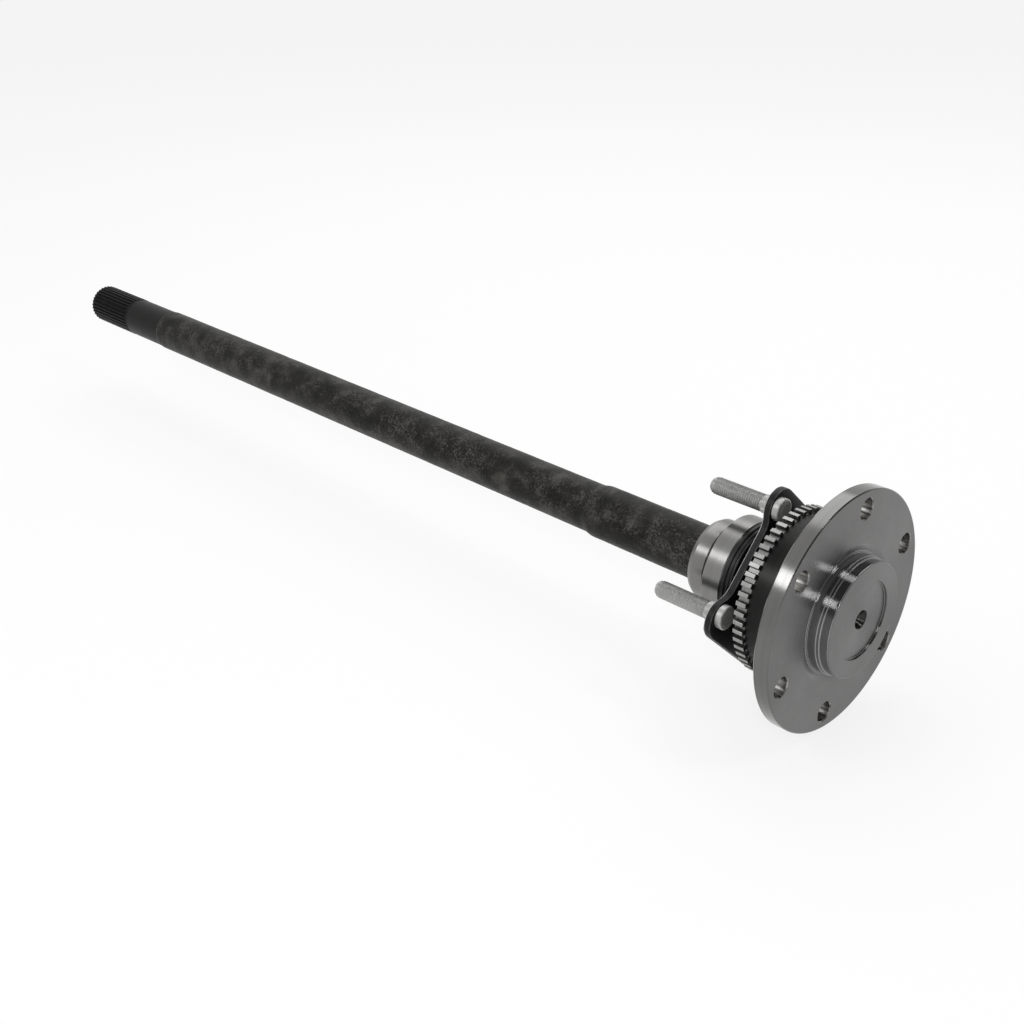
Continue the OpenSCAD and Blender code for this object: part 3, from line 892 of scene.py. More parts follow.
@dataclass
class AxleFlange:
    """Wheel end of the forging: pilot, drilled flange, hub, journal and bearing seat (mm)."""

    segments: int = 256
    centre: LatheCentre = LatheCentre()
    centre_round: float = 0.4
    mouth_round: float = 1.2
    pilot_face: float = 13.2
    shoulder_face: float = 7.1
    rotor_face: float = 5.1
    foot_drop: float = 1.1
    wheel_r: float = 38.9
    shoulder_r: float = 39.6
    rotor_r: float = 40.2
    foot_r: float = 41.7
    front_round: float = 0.6
    band_round: float = 0.4
    shoulder_inner_round: float = 0.15
    rotor_inner_round: float = 0.1
    foot_inner_round: float = 0.2
    relief_w: float = 4.0
    relief_depth: float = 1.8
    relief_floor: float = 0.3
    relief_floor_round: float = 0.3
    relief_round: float = 6.0
    recess_r: float = 26.7
    recess_depth: float = 1.7
    recess_floor_round: float = 0.7
    recess_edge_round: float = 0.35
    flange_r: float = 82.3
    flange_t: float = 10.8
    flange_chamfer: float = 0.8
    rim_front_round: float = 0.4
    rim_back_round: float = 0.25
    hub_r: float = 54.9
    hub_fillet: float = 3.0
    hub_round: float = 0.3
    ring_seat_r: float = 50.99
    dish_r: float = 45.99
    dish_back: float = -50.2
    dish_round: float = 1.0
    journal_r: float = 25.4
    neck_fillet: float = 4.0
    cone_front: float = -70.85
    seat_r: float = 20.6275
    hole_count: int = 6
    hole_circle_r: float = 69.85
    hole_r: float = 6.9
    hole_chamfer: float = 0.7
    hole_roll: float = 18.8
    hole_segments: int = 64
    cut_over: float = 1.0
    mouth_margin: float = 0.3
    recess_margin: float = 2.0
    foot_margin: float = 0.01
    relief_margin: float = 0.1
    journal_margin: float = 1.0
    front_share: float = 0.7
    band_tilt: float = 0.15

    def profile(self) -> list[Point]:
        """Draws the turned half section from the pilot's centre to the end of the seat.

        Returns:
            Points of [station, radius].
        """
        centre = self.centre
        sink = self.pilot_face - self.recess_depth
        bottom = self.pilot_face - centre.depth
        edge, rim, back = self.band_round, self.flange_chamfer, -self.flange_t
        return rounded_profile([
            Corner(bottom - centre.tip_depth(), 0.0),
            Corner(bottom, centre.r),
            Corner(sink - centre.mouth_depth(), centre.r, self.centre_round),
            Corner(sink, centre.mouth_r, self.mouth_round),
            Corner(sink, self.recess_r, self.recess_floor_round),
            Corner(self.pilot_face, self.recess_r, self.recess_edge_round),
            Corner(self.pilot_face, self.wheel_r, self.front_round),
            Corner(self.shoulder_face, self.wheel_r, self.shoulder_inner_round),
            Corner(self.shoulder_face, self.shoulder_r, edge),
            Corner(self.rotor_face, self.shoulder_r, self.rotor_inner_round),
            Corner(self.rotor_face, self.rotor_r, edge),
            Corner(-self.foot_drop, self.rotor_r, self.foot_inner_round),
            Corner(-self.foot_drop, self.foot_r, edge),
            Corner(-self.relief_depth, self.foot_r, self.foot_inner_round),
            Corner(-self.relief_depth, self.foot_r + self.relief_floor, self.relief_floor_round),
            Corner(0.0, self.foot_r + self.relief_w, self.relief_round),
            Corner(0.0, self.flange_r - rim, self.rim_front_round),
            Corner(-rim, self.flange_r, self.rim_front_round),
            Corner(back + rim, self.flange_r, self.rim_back_round),
            Corner(back, self.flange_r - rim, self.rim_back_round),
            Corner(back, self.hub_r, self.hub_fillet),
            Corner(RING_FRONT, self.hub_r, self.hub_round),
            Corner(RING_FRONT, self.ring_seat_r),
            Corner(RING_BACK, self.ring_seat_r, self.hub_round),
            Corner(RING_BACK, self.dish_r, self.dish_round),
            Corner(self.dish_back, self.journal_r, self.neck_fillet),
            Corner(self.cone_front, self.journal_r, self.hub_round),
            Corner(self.cone_front, self.seat_r),
            Corner(COLLAR_END, self.seat_r),
            Corner(COLLAR_END, 0.0)])

    def drill(self) -> bpy.types.Object:
        """Makes the stud holes as one cutting shape.

        Returns:
            The cutter.
        """
        over = self.cut_over
        mouth_r = self.hole_r + (self.hole_chamfer + over)
        section = [
            (over, 0.0), (over, mouth_r), (-self.hole_chamfer, self.hole_r),
            (self.hole_chamfer - self.flange_t, self.hole_r),
            (-self.flange_t - over, mouth_r), (-self.flange_t - over, 0.0)]
        cutter = bpy.data.meshes.new("stud_holes")
        work = bmesh.new()
        one = lathe("stud_hole", section, self.hole_segments)
        offset = Matrix.Translation((0.0, self.hole_circle_r * MM, 0.0))
        for i in range(self.hole_count):
            angle = math.radians(self.hole_roll) + i * TURN / self.hole_count
            copy = one.copy()
            copy.transform(Matrix.Rotation(angle, 4, "X") @ offset)
            work.from_mesh(copy)
            bpy.data.meshes.remove(copy)
        work.to_mesh(cutter)
        work.free()
        bpy.data.meshes.remove(one)
        return add_piece("stud_hole_cutter", cutter, [HOLE_STEEL.build()])

    def slot_of(self, x: float, r: float, along: float) -> FlangeSlot:
        """Chooses the finish of a face.

        Args:
            x: station of its middle.
            r: largest radius of its corners.
            along: share of its normal along the axle.

        Returns:
            The finish's slot.
        """
        # Painted shade: the centre hole and its countersink take the dark finish.
        if x > self.pilot_face - 2.0 * self.centre.depth and r < self.centre.mouth_r + self.mouth_margin:
            return FlangeSlot.CENTRE
        if x > -self.relief_depth and self.recess_r + self.recess_margin < r < self.foot_r + self.foot_margin:
            if along > FLAT or x > self.pilot_face - self.front_share * self.front_round:
                return FlangeSlot.FACE
            return FlangeSlot.BAND if along < self.band_tilt else FlangeSlot.EDGE
        if x > self.rotor_face:
            return FlangeSlot.FACE
        if x > -self.relief_depth - self.relief_margin and r < self.flange_r - 0.5 * self.flange_chamfer:
            return FlangeSlot.FACE
        if r > self.flange_r - 1.5 * self.flange_chamfer:
            return FlangeSlot.RIM
        return FlangeSlot.BAND if x < self.dish_back - self.journal_margin else FlangeSlot.HUB

    def build(self) -> bpy.types.Object:
        """Builds and dresses the wheel end.

        Returns:
            The placed piece.
        """
        finishes = {
            FlangeSlot.FACE: FACE_STEEL, FlangeSlot.BAND: BAND_STEEL, FlangeSlot.RIM: RIM_STEEL,
            FlangeSlot.HUB: HUB_STEEL, FlangeSlot.CENTRE: CENTRE_SHADE_STEEL, FlangeSlot.EDGE: EDGE_STEEL}
        mesh = lathe("axle_flange", self.profile(), self.segments)
        piece = add_piece("axle_flange", mesh, [finishes[slot].build() for slot in FlangeSlot])
        paint_faces(mesh, self.slot_of)
        cutter = self.drill()
        cut = piece.modifiers.new("stud_holes", "BOOLEAN")
        cut.object, cut.operation, cut.solver = cutter, "DIFFERENCE", "EXACT"
        cut.material_mode = "TRANSFER"
        apply_modifiers(piece)
        bpy.data.objects.remove(cutter)
        return place(piece, Body.SHAFT, "axle_steel", "axle_shaft")


@dataclass
class AxleBar:
    """Forged bar from the collar to the spline, with its turned band (mm)."""

    root_r: float = 19.3
    root_end: float = -200.26
    root_taper: float = 8.0
    bar_r: float = 17.9
    turned_at: float = -748.8
    turned_taper: float = 2.0
    taper_steps: int = 4
    segments: int = 96
    step: float = 1.6
    swell: float = 0.1
    swell_size: float = 11.0
    grain: float = 0.055
    grain_size: float = 2.6
    plain_end: float = 1.0
    turned_fade: float = 4.0
    collar_fade: float = 2.0
    core_r: float = 1.0

    def radius(self, x: float) -> float:
        """Works out the nominal radius at a station, with eased tapers.

        Args:
            x: station.

        Returns:
            The radius.
        """
        knots = [
            (self.root_end, self.root_r), (self.root_end - self.root_taper, self.bar_r),
            (self.turned_at + self.turned_taper, self.bar_r), (self.turned_at, TURNED_R)]
        if x >= knots[0][0]:
            return self.root_r
        for (x0, r0), (x1, r1) in zip(knots, knots[1:]):
            if x >= x1:
                share = (x0 - x) / (x0 - x1)
                return r0 + (r1 - r0) * share * share * (3.0 - 2.0 * share)
        return TURNED_R

    def roughen(self, mesh: bpy.types.Mesh) -> None:
        """Raises and pits the forged part of the mesh by noise with a fixed pattern.

        Args:
            mesh: mesh of the bar, changed in place.
        """
        low, high = self.turned_at + self.turned_taper + self.plain_end, COLLAR_END - self.plain_end
        for vertex in mesh.vertices:
            x, y, z = vertex.co / MM
            if not low < x < high or math.hypot(y, z) < self.core_r:
                continue
            spot = Vector((x, y, z))
            lift = self.swell * noise.noise(spot / self.swell_size)
            lift += self.grain * noise.noise(spot / self.grain_size)
            fade = min(1.0, (x - low) / self.turned_fade, (high - x) / self.collar_fade)
            side = Vector((0.0, y, z)).normalized()
            vertex.co += side * (lift * fade * MM)

    def build(self) -> bpy.types.Object:
        """Builds and dresses the bar.

        Returns:
            The placed piece.
        """
        count = round((COLLAR_END - SPLINE_START) / self.step)
        stations = {COLLAR_END + (SPLINE_START - COLLAR_END) * i / count for i in range(count + 1)}
        rise = self.turned_taper / self.taper_steps
        stations |= {self.turned_at + rise * i for i in range(self.taper_steps + 1)}
        profile: list[Point] = [(COLLAR_END, 0.0)]
        profile += [(x, self.radius(x)) for x in sorted(stations, reverse=True)]
        profile.append((SPLINE_START, 0.0))
        mesh = lathe("axle_bar", profile, self.segments)
        self.roughen(mesh)
        mesh.set_sharp_from_angle(angle=SHARP_ANGLE)
        piece = add_piece("axle_bar", mesh, [SCALE_STEEL.build(), SMOOTH_STEEL.build()])
        paint_faces(mesh, lambda x, r, along: int(x < self.turned_at + 0.5 * self.turned_taper))
        return place(piece, Body.SHAFT, "axle_steel", "axle_shaft")


@dataclass
class AxleSpline:
    """Splined end with involute teeth, hob run-out and end chamfer (mm)."""

    teeth: int = 32
    module: float = 1.0583
    pressure: float = 30.0
    addendum: float = 0.49
    dedendum: float = 0.885
    end: float = -863.8
    chamfer: float = 1.4
    chamfer_shares: tuple[float, ...] = (1.0, 0.66, 0.33, 0.0)
    hob_r: float = 25.0
    runout_shares: tuple[float, ...] = (0.15, 0.3, 0.45, 0.6, 0.8, 1.0)
    centre: LatheCentre = LatheCentre()
    flank_steps: int = 4

    def tooth(self) -> list[Point]:
        """Draws one tooth from gap to gap.

        Returns:
            Points of [angle, radius].
        """
        pitch_r = 0.5 * self.teeth * self.module
        tip_r, root_r = pitch_r + self.addendum, pitch_r - self.dedendum
        base_r = pitch_r * math.cos(math.radians(self.pressure))

        def involute(angle: float) -> float:
            """Returns the involute of an angle."""
            return math.tan(angle) - angle

        def half(r: float) -> float:
            """Returns half the angle of the tooth at a radius."""
            at_pitch = 0.25 * TURN / self.teeth + involute(math.radians(self.pressure))
            return at_pitch - involute(math.acos(base_r / r))

        radii = [root_r + (tip_r - root_r) * i / self.flank_steps for i in range(self.flank_steps + 1)]
        gap = 0.5 * TURN / self.teeth
        return whole_tooth([(-gap, root_r), *((-half(r), r) for r in radii)], tip_r)

    def sector(self) -> bpy.types.Mesh:
        """Builds one tooth's sector of the spline, with its run-out and its share of the ends.

        Returns:
            The mesh, open at its two sides.
        """
        tooth = self.tooth()
        root_r, tip_r = min(r for _, r in tooth), max(r for _, r in tooth)
        rise = TURNED_R - root_r
        runout = math.sqrt(2.0 * self.hob_r * rise - rise * rise)
        centre, bottom = self.centre, self.end + self.centre.depth
        rows: list[list[Place]] = []

        def ring(x: float, radius: Callable[[float], float]) -> None:
            """Adds a row of points at a station."""
            rows.append([(x, radius(r) * math.cos(a), radius(r) * math.sin(a)) for a, r in tooth])

        ring(SPLINE_START, lambda r: 0.0)
        ring(SPLINE_START, lambda r: max(r, TURNED_R))
        for share in self.runout_shares:
            run = runout * (1.0 - share)
            floor = root_r + self.hob_r - math.sqrt(self.hob_r ** 2 - run ** 2)
            ring(SPLINE_START - runout * share, lambda r, f=floor: max(r, f))
        for share in self.chamfer_shares:
            cap = tip_r - self.chamfer * (1.0 - share)
            ring(self.end + self.chamfer * share, lambda r, c=cap: min(r, c))
        ring(self.end, lambda r: centre.mouth_r)
        ring(self.end + centre.mouth_depth(), lambda r: centre.r)
        ring(bottom, lambda r: centre.r)
        ring(bottom + centre.tip_depth(), lambda r: 0.0)
        return sector_mesh("spline_tooth", rows)

    def build(self, tree: bpy.types.NodeTree) -> bpy.types.Object:
        """Builds and dresses the spline.

        Args:
            tree: tree that repeats a sector round the axle.

        Returns:
            The placed piece.
        """
        piece = add_piece("axle_spline", self.sector())
        grow(piece, tree, CRISP_ANGLE, Count=self.teeth, Start_Angle=0.0, Finish=SPLINE_STEEL.build())
        return place(piece, Body.SHAFT, "axle_steel", "axle_shaft")


@dataclass
class ToneRing:
    """Toothed sensor ring on the back of the hub (mm)."""

    teeth: int = 55
    outer_r: float = 57.5
    height: float = 2.6
    tip_share: float = 0.42
    floor_share: float = 0.42
    bore_r: float = 51.0
    roll: float = 132.5
    edge: float = 0.2
    crest: float = 0.2
    wall_tilt: float = 0.6

    def tooth(self) -> list[Point]:
        """Draws one tooth from gap to gap, with eased corners.

        Returns:
            Points of [angle, radius].
        """
        pitch = TURN / self.teeth
        floor_r = self.outer_r - self.height
        tip = 0.5 * pitch * self.tip_share
        foot = 0.5 * pitch * (1.0 - self.floor_share)
        flank = foot + (tip - foot) * (self.height - self.crest) / self.height
        return whole_tooth([
            (-0.5 * pitch, floor_r), (-foot, floor_r), (-flank, self.outer_r - self.crest),
            (-tip + self.crest / self.outer_r, self.outer_r)], self.outer_r)

    def sector(self) -> bpy.types.Mesh:
        """Builds one tooth's sector of the ring.

        Returns:
            The mesh, open at its two sides.
        """
        tooth = self.tooth()
        rows: list[list[Place]] = []
        stations = [
            (RING_FRONT, None), (RING_FRONT, self.edge), (RING_FRONT - self.edge, 0.0),
            (RING_BACK + self.edge, 0.0), (RING_BACK, self.edge), (RING_BACK, None)]
        for x, inset in stations:
            radii = [self.bore_r if inset is None else r - inset for _, r in tooth]
            rows.append([(x, r * math.cos(a), r * math.sin(a)) for r, (a, _) in zip(radii, tooth)])
        return sector_mesh("ring_tooth", rows, closed=True)

    def build(self, tree: bpy.types.NodeTree) -> bpy.types.Object:
        """Builds and dresses the ring: bright crests, painted shade on the walls and a lighter painted shade
        on the floors.

        Args:
            tree: tree that repeats a sector round the axle.

        Returns:
            The placed piece.
        """
        piece = add_piece("sensor_ring", self.sector())
        grow(
            piece, tree, CRISP_ANGLE, Count=self.teeth, Start_Angle=math.radians(self.roll),
            Finish=RING_STEEL.build())
        first = len(piece.data.materials)
        for other in (RING_WALL_SHADE, RING_FLOOR_SHADE):
            piece.data.materials.append(other.build())
        middle_r = self.outer_r - 0.5 * self.height
        # Painted shade: faces turned away from the outward direction take the dark wall finish, and floors
        # below mid height a darker finish than the crests.
        for face in piece.data.polygons:
            out = Vector((0.0, face.center.y, face.center.z))
            if face.normal.dot(out.normalized()) < self.wall_tilt:
                face.material_index = first
            elif out.length / MM < middle_r:
                face.material_index = first + 1
        return place(piece, Body.SHAFT, "ring_steel", "tone_ring")


@dataclass
class RetainerPlate:
    """Black four-eared plate that holds the bearing in the housing (mm)."""

    ear_end: float = 15.3
    ear_side: float = 8.9
    ear_r: float = 13.5
    ear_steps: int = 14
    waist_depth: float = 9.2
    waist_r: float = 14.0
    waist_steps: int = 8
    bore_r: float = 30.0
    bore_segments: int = 96
    hole_r: float = 6.31
    hole_segments: int = 40
    roll: float = -45.0
    edge: float = 0.6
    edge_steps: int = 2
    side_tilt: float = 0.1

    @staticmethod
    def bolt_offset() -> float:
        """Returns how far a bolt lies from the axle along either axis of the plate."""
        return BOLT_CIRCLE_R * math.cos(0.125 * TURN)

    @staticmethod
    def arc(centre: Point, r: float, angles: Sequence[float]) -> list[Point]:
        """Returns points on a circle at some angles."""
        return [(centre[0] + r * math.cos(angle), centre[1] + r * math.sin(angle)) for angle in angles]

    def quarter(self) -> list[Point]:
        """Draws the outline from the middle of the waist to the middle of the end.

        Returns:
            Points in the plate's own axes.
        """
        bolt = self.bolt_offset()
        ear_u, ear_v = bolt + self.ear_side - self.ear_r, bolt + self.ear_end - self.ear_r
        waist = bolt + self.ear_side - self.waist_depth
        hollow_u = waist + self.waist_r
        hollow_v = ear_v - math.sqrt((self.ear_r + self.waist_r) ** 2 - (hollow_u - ear_u) ** 2)
        meet = math.atan2(ear_v - hollow_v, ear_u - hollow_u)
        start = meet - math.pi
        into = [math.pi + (meet - math.pi) * k / self.waist_steps for k in range(self.waist_steps + 1)]
        over = [start + (0.25 * TURN - start) * k / self.ear_steps for k in range(1, self.ear_steps + 1)]
        return [
            (waist, 0.0), *self.arc((hollow_u, hollow_v), self.waist_r, into),
            *self.arc((ear_u, ear_v), self.ear_r, over), (0.0, ear_v + self.ear_r)]

    def outline(self) -> list[Point]:
        """Mirrors the quarter into the whole outline.

        Returns:
            Points in the plate's own axes.
        """
        first = self.quarter()
        half = first + [(-u, v) for u, v in reversed(first[:-1])]
        return half + [(u, -v) for u, v in reversed(half[1:-1])]

    def slot_of(self, x: float, r: float, along: float) -> PlateSlot:
        """Chooses the finish of a face: paint, or the back or front edge, where worn or rubbed paint carries
        a painted highlight.

        Args:
            x: station of its middle.
            r: largest radius of its corners.
            along: share of its normal along the axle.

        Returns:
            The finish's slot.
        """
        if not self.side_tilt < abs(along) < FLAT:
            return PlateSlot.PAINT
        # Painted highlight: back edges take the bright worn finish, and front edges a faintly lighter rubbed
        # one.
        return PlateSlot.WORN_HIGHLIGHT if along < 0.0 else PlateSlot.RUBBED_SHEEN

    def sheet_mesh(self) -> bpy.types.Mesh:
        """Builds the pierced plate, flat and centred in its own axes, with rounded edges.

        Returns:
            The mesh.
        """
        curve = bpy.data.curves.new("plate_outline", "CURVE")
        curve.dimensions, curve.fill_mode = "2D", "BOTH"
        curve.extrude = (0.5 * PLATE_T - self.edge) * MM
        curve.bevel_depth, curve.bevel_resolution = self.edge * MM, self.edge_steps
        curve.offset = -self.edge * MM

        def circle(u: float, v: float, r: float, count: int) -> list[Point]:
            """Returns the points of a hole."""
            return self.arc((u, v), r, [TURN * k / count for k in range(count)])

        bolt = self.bolt_offset()
        loops = [self.outline(), circle(0.0, 0.0, self.bore_r, self.bore_segments)]
        loops += [
            circle(u, v, self.hole_r, self.hole_segments) for u in (-bolt, bolt) for v in (-bolt, bolt)]
        for points in loops:
            spline = curve.splines.new("POLY")
            spline.points.add(len(points) - 1)
            for target, (u, v) in zip(spline.points, points):
                target.co = (u * MM, v * MM, 0.0, 1.0)
            spline.use_cyclic_u = True
        shape = bpy.data.objects.new("plate_shape", curve)
        bpy.context.scene.collection.objects.link(shape)
        mesh = evaluated_mesh(shape)
        bpy.data.objects.remove(shape)
        return mesh

    def build(self) -> bpy.types.Object:
        """Builds and dresses the plate.

        Returns:
            The placed piece.
        """
        mesh = self.sheet_mesh()
        middle = (PLATE_FRONT - 0.5 * PLATE_T) * MM
        to_axle = Matrix(((0, 0, 1, middle), (1, 0, 0, 0), (0, 1, 0, 0), (0, 0, 0, 1)))
        mesh.transform(Matrix.Rotation(math.radians(self.roll), 4, "X") @ to_axle)
        mesh.materials.clear()
        finishes = {
            PlateSlot.PAINT: PLATE_PAINT, PlateSlot.WORN_HIGHLIGHT: WORN_EDGE_HIGHLIGHT, PlateSlot.RUBBED_SHEEN: RUBBED_EDGE_SHEEN}
        piece = add_piece("cover_plate", finish_mesh(mesh), [finishes[slot].build() for slot in PlateSlot])
        paint_faces(mesh, self.slot_of)
        return place(piece, Body.FIXED, "plate_paint", "retainer_plate")


@dataclass
class RetainerBolts:
    """Four knurled bolts with rolled threads (mm)."""

    count: int = 4
    segments: int = 48
    round_steps: int = 5
    thread_r: float = 5.95
    thread_pitch: float = 1.75
    thread_height: float = 0.85
    thread_sink: float = 0.03
    thread_gap: float = 0.2
    lead_turns: float = 1.6
    length: float = 50.6
    tip_chamfer: float = 1.5
    tip_drop: float = 0.9
    tip_round: float = 0.3
    head_r: float = 8.0
    head_h: float = 5.3
    head_round: float = 1.4
    dish_r: float = 3.4
    dish_rim_r: float = 4.6
    dish_depth: float = 0.25
    dish_round: float = 0.8
    neck_r: float = 6.3
    neck_out: float = 5.5
    neck_sink: float = 0.22
    neck_taper: float = 0.9
    neck_round: float = 0.4
    knurl_count: int = 44
    knurl_width: float = 0.4
    knurl_sink: float = 0.28
    knurl_front_gap: float = 0.4
    knurl_back_gap: float = 1.0

    def neck_end(self) -> float:
        """Returns the station where the knurled neck ends."""
        return PLATE_FRONT - PLATE_T - self.neck_out

    def core(self) -> bpy.types.Mesh:
        """Builds the bolt without thread and knurl, head outboard.

        Returns:
            The mesh, on the axle.
        """
        front, tip = PLATE_FRONT, PLATE_FRONT - self.length
        face, neck_end = front + self.head_h, self.neck_end()
        core_r = self.thread_r - self.thread_height + self.thread_sink
        neck = self.neck_r - self.neck_sink
        profile = rounded_profile([
            Corner(face - self.dish_depth, 0.0),
            Corner(face - self.dish_depth, self.dish_r, self.dish_round),
            Corner(face, self.dish_rim_r, self.dish_round),
            Corner(face, self.head_r, self.head_round),
            Corner(front, self.head_r, self.head_round),
            Corner(front, neck),
            Corner(neck_end + self.neck_taper, neck, self.neck_round),
            Corner(neck_end, core_r, self.neck_round),
            Corner(tip + self.tip_chamfer, core_r, self.tip_round),
            Corner(tip, core_r - self.tip_drop, self.tip_round),
            Corner(tip, 0.0)], steps=self.round_steps)
        return lathe("retainer_bolt", profile, self.segments)

    def build(self, tree: bpy.types.NodeTree) -> bpy.types.Object:
        """Builds and dresses the bolts.

        Args:
            tree: tree that threads, knurls and repeats a bolt.

        Returns:
            The placed piece.
        """
        start = self.neck_end() + self.thread_gap
        usable = PLATE_FRONT - self.length + 0.5 * self.tip_chamfer
        turns = (start - usable) / self.thread_pitch - self.lead_turns
        knurl_front = PLATE_FRONT - self.knurl_front_gap
        knurl_end = self.neck_end() + self.knurl_back_gap
        piece = add_piece("threaded_bolts", self.core())
        grow(
            piece, tree, SHARP_ANGLE, Count=self.count, Circle_Radius=BOLT_CIRCLE_R * MM, Start_Angle=0.0,
            Thread_Start=start * MM, Thread_Turns=turns, Thread_Pitch=self.thread_pitch * MM,
            Thread_Radius=self.thread_r * MM, Thread_Height=self.thread_height * MM,
            Lead_Turns=self.lead_turns, Knurl_Count=self.knurl_count,
            Knurl_Middle=0.5 * (knurl_front + knurl_end) * MM, Knurl_Length=(knurl_front - knurl_end) * MM,
            Knurl_Radius=(self.neck_r - self.knurl_sink) * MM, Knurl_Width=self.knurl_width * MM,
            Finish=BOLT_ZINC.build())
        return place(piece, Body.FIXED, "bolt_zinc", "retainer_bolts")


@dataclass
class SealAndBearing:
    """Ribbed seal, ground bearing rings and pressed collar (mm)."""

    segments: int = 160
    seal_front: float = -64.1
    cup_front: float = -71.1
    rib_r: float = 36.015
    rib_shares: tuple[float, float, float] = (0.75, 0.55, 0.35)
    rib_round: float = 0.4
    low_rib_drop: float = 0.4
    low_rib_round: float = 0.3
    groove: float = 1.1
    groove_round: float = 0.2
    seal_round: float = 0.5
    seal_steps: int = 3
    wall: float = 1.5
    spigot_r: float = 29.75
    spigot_end: float = -57.0
    cup_r: float = 36.715
    cup_w: float = 14.73
    cup_front_r: float = 29.97
    cup_back_r: float = 33.83
    cone_back: float = -90.66
    collar_r: float = 28.4
    collar_taper: float = 3.4
    collar_drop: float = 1.9
    taper_round: float = 0.8
    end_round: float = 0.4
    bore_r: float = 20.6375
    chamfer: float = 0.9
    chamfer_round: float = 0.3

    def seal_profile(self) -> list[Point]:
        """Draws the seal's section: a spigot, a low rib and a full rib.

        Returns:
            Points of [station, radius], as a loop.
        """
        low = self.rib_r - self.groove
        inner = self.rib_r - self.groove - self.wall
        low_rib = self.rib_r - self.low_rib_drop * self.groove
        width = self.seal_front - self.cup_front
        front, middle, back = (self.cup_front + share * width for share in self.rib_shares)
        return rounded_profile([
            Corner(self.cup_front, self.rib_r, self.rib_round),
            Corner(self.cup_front, inner),
            Corner(self.seal_front - self.wall, inner),
            Corner(self.seal_front - self.wall, self.spigot_r - self.wall),
            Corner(self.spigot_end, self.spigot_r - self.wall),
            Corner(self.spigot_end, self.spigot_r, self.rib_round),
            Corner(self.seal_front, self.spigot_r, self.seal_round),
            Corner(self.seal_front, low, self.seal_round),
            Corner(front, low, self.groove_round),
            Corner(front, low_rib, self.low_rib_round),
            Corner(middle, low_rib, self.low_rib_round),
            Corner(middle, low, self.groove_round),
            Corner(back, low, self.groove_round),
            Corner(back, self.rib_r, self.rib_round)], closed=True, steps=self.seal_steps)

    def cup_profile(self) -> list[Point]:
        """Draws the outer ring's section.

        Returns:
            Points of [station, radius], as a loop.
        """
        back, fine = self.cup_front - self.cup_w, self.chamfer_round
        return rounded_profile([
            Corner(self.cup_front, self.cup_front_r),
            Corner(self.cup_front, self.cup_r - self.chamfer, fine),
            Corner(self.cup_front - self.chamfer, self.cup_r, fine),
            Corner(back + self.chamfer, self.cup_r, fine),
            Corner(back, self.cup_r - self.chamfer, fine),
            Corner(back, self.cup_back_r)], closed=True)

    def collar_profile(self) -> list[Point]:
        """Draws the lock collar's section.

        Returns:
            Points of [station, radius], as a loop.
        """
        return rounded_profile([
            Corner(self.cone_back, self.bore_r),
            Corner(self.cone_back, self.collar_r - self.chamfer, self.chamfer_round),
            Corner(self.cone_back - self.chamfer, self.collar_r, self.chamfer_round),
            Corner(COLLAR_END + self.collar_taper, self.collar_r, self.taper_round),
            Corner(COLLAR_END, self.collar_r - self.collar_drop, self.end_round),
            Corner(COLLAR_END, self.bore_r)], closed=True)

    def build(self) -> None:
        """Builds and dresses the seal, cup and collar, and refinishes the pieces inside them."""
        collar = self.collar_profile()
        plan = [
            ("ribbed_seal", self.seal_profile(), SEAL_BLACK, Body.FIXED, "seal_black", "seal_case"),
            ("ground_cup", self.cup_profile(), CUP_STEEL, Body.FIXED, "bearing_steel", "bearing_cup"),
            ("pressed_collar", collar, COLLAR_STEEL, Body.SHAFT, "collar_steel", "lock_collar")]
        for name, profile, finish, body, slot, node in plan:
            mesh = lathe(name, profile, self.segments, closed=True)
            place(add_piece(name, mesh, [finish.build()]), body, slot, node)
        self.refinish()

    def refinish(self) -> None:
        """Gives the nodes that stay their own finishes."""
        finishes = {
            "seal_lip": LIP_RUBBER.build(), "garter_spring": WIRE_STEEL.build(),
            "bearing_cone": CUP_STEEL.build(), "bearing_cage": CAGE_STEEL.build()}
        roller = ROLLER_STEEL.build()
        for name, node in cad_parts.items():
            finish = roller if name.startswith("roller_") else finishes.get(name)
            if finish is None:
                continue
            node.data.materials.clear()
            node.data.materials.append(finish)
            LOG.info("%s: kept from the model", name)


# Studio


@dataclass(frozen=True)
class Softbox:
    """One studio lamp: place, aim and size in metres, power in watts."""

    name: str
    place: Place
    aim: Place
    size: Point
    power: float

    def build(self) -> None:
        """Adds the lamp to the scene."""
        lamp = bpy.data.lights.new(self.name, "AREA")
        lamp.shape, lamp.energy = "RECTANGLE", self.power
        lamp.size, lamp.size_y = self.size
        holder = bpy.data.objects.new(self.name, lamp)
        holder.location = self.place
        holder.rotation_euler = (Vector(self.aim) - Vector(self.place)).to_track_quat("-Z", "Y").to_euler()
        bpy.context.scene.collection.objects.link(holder)


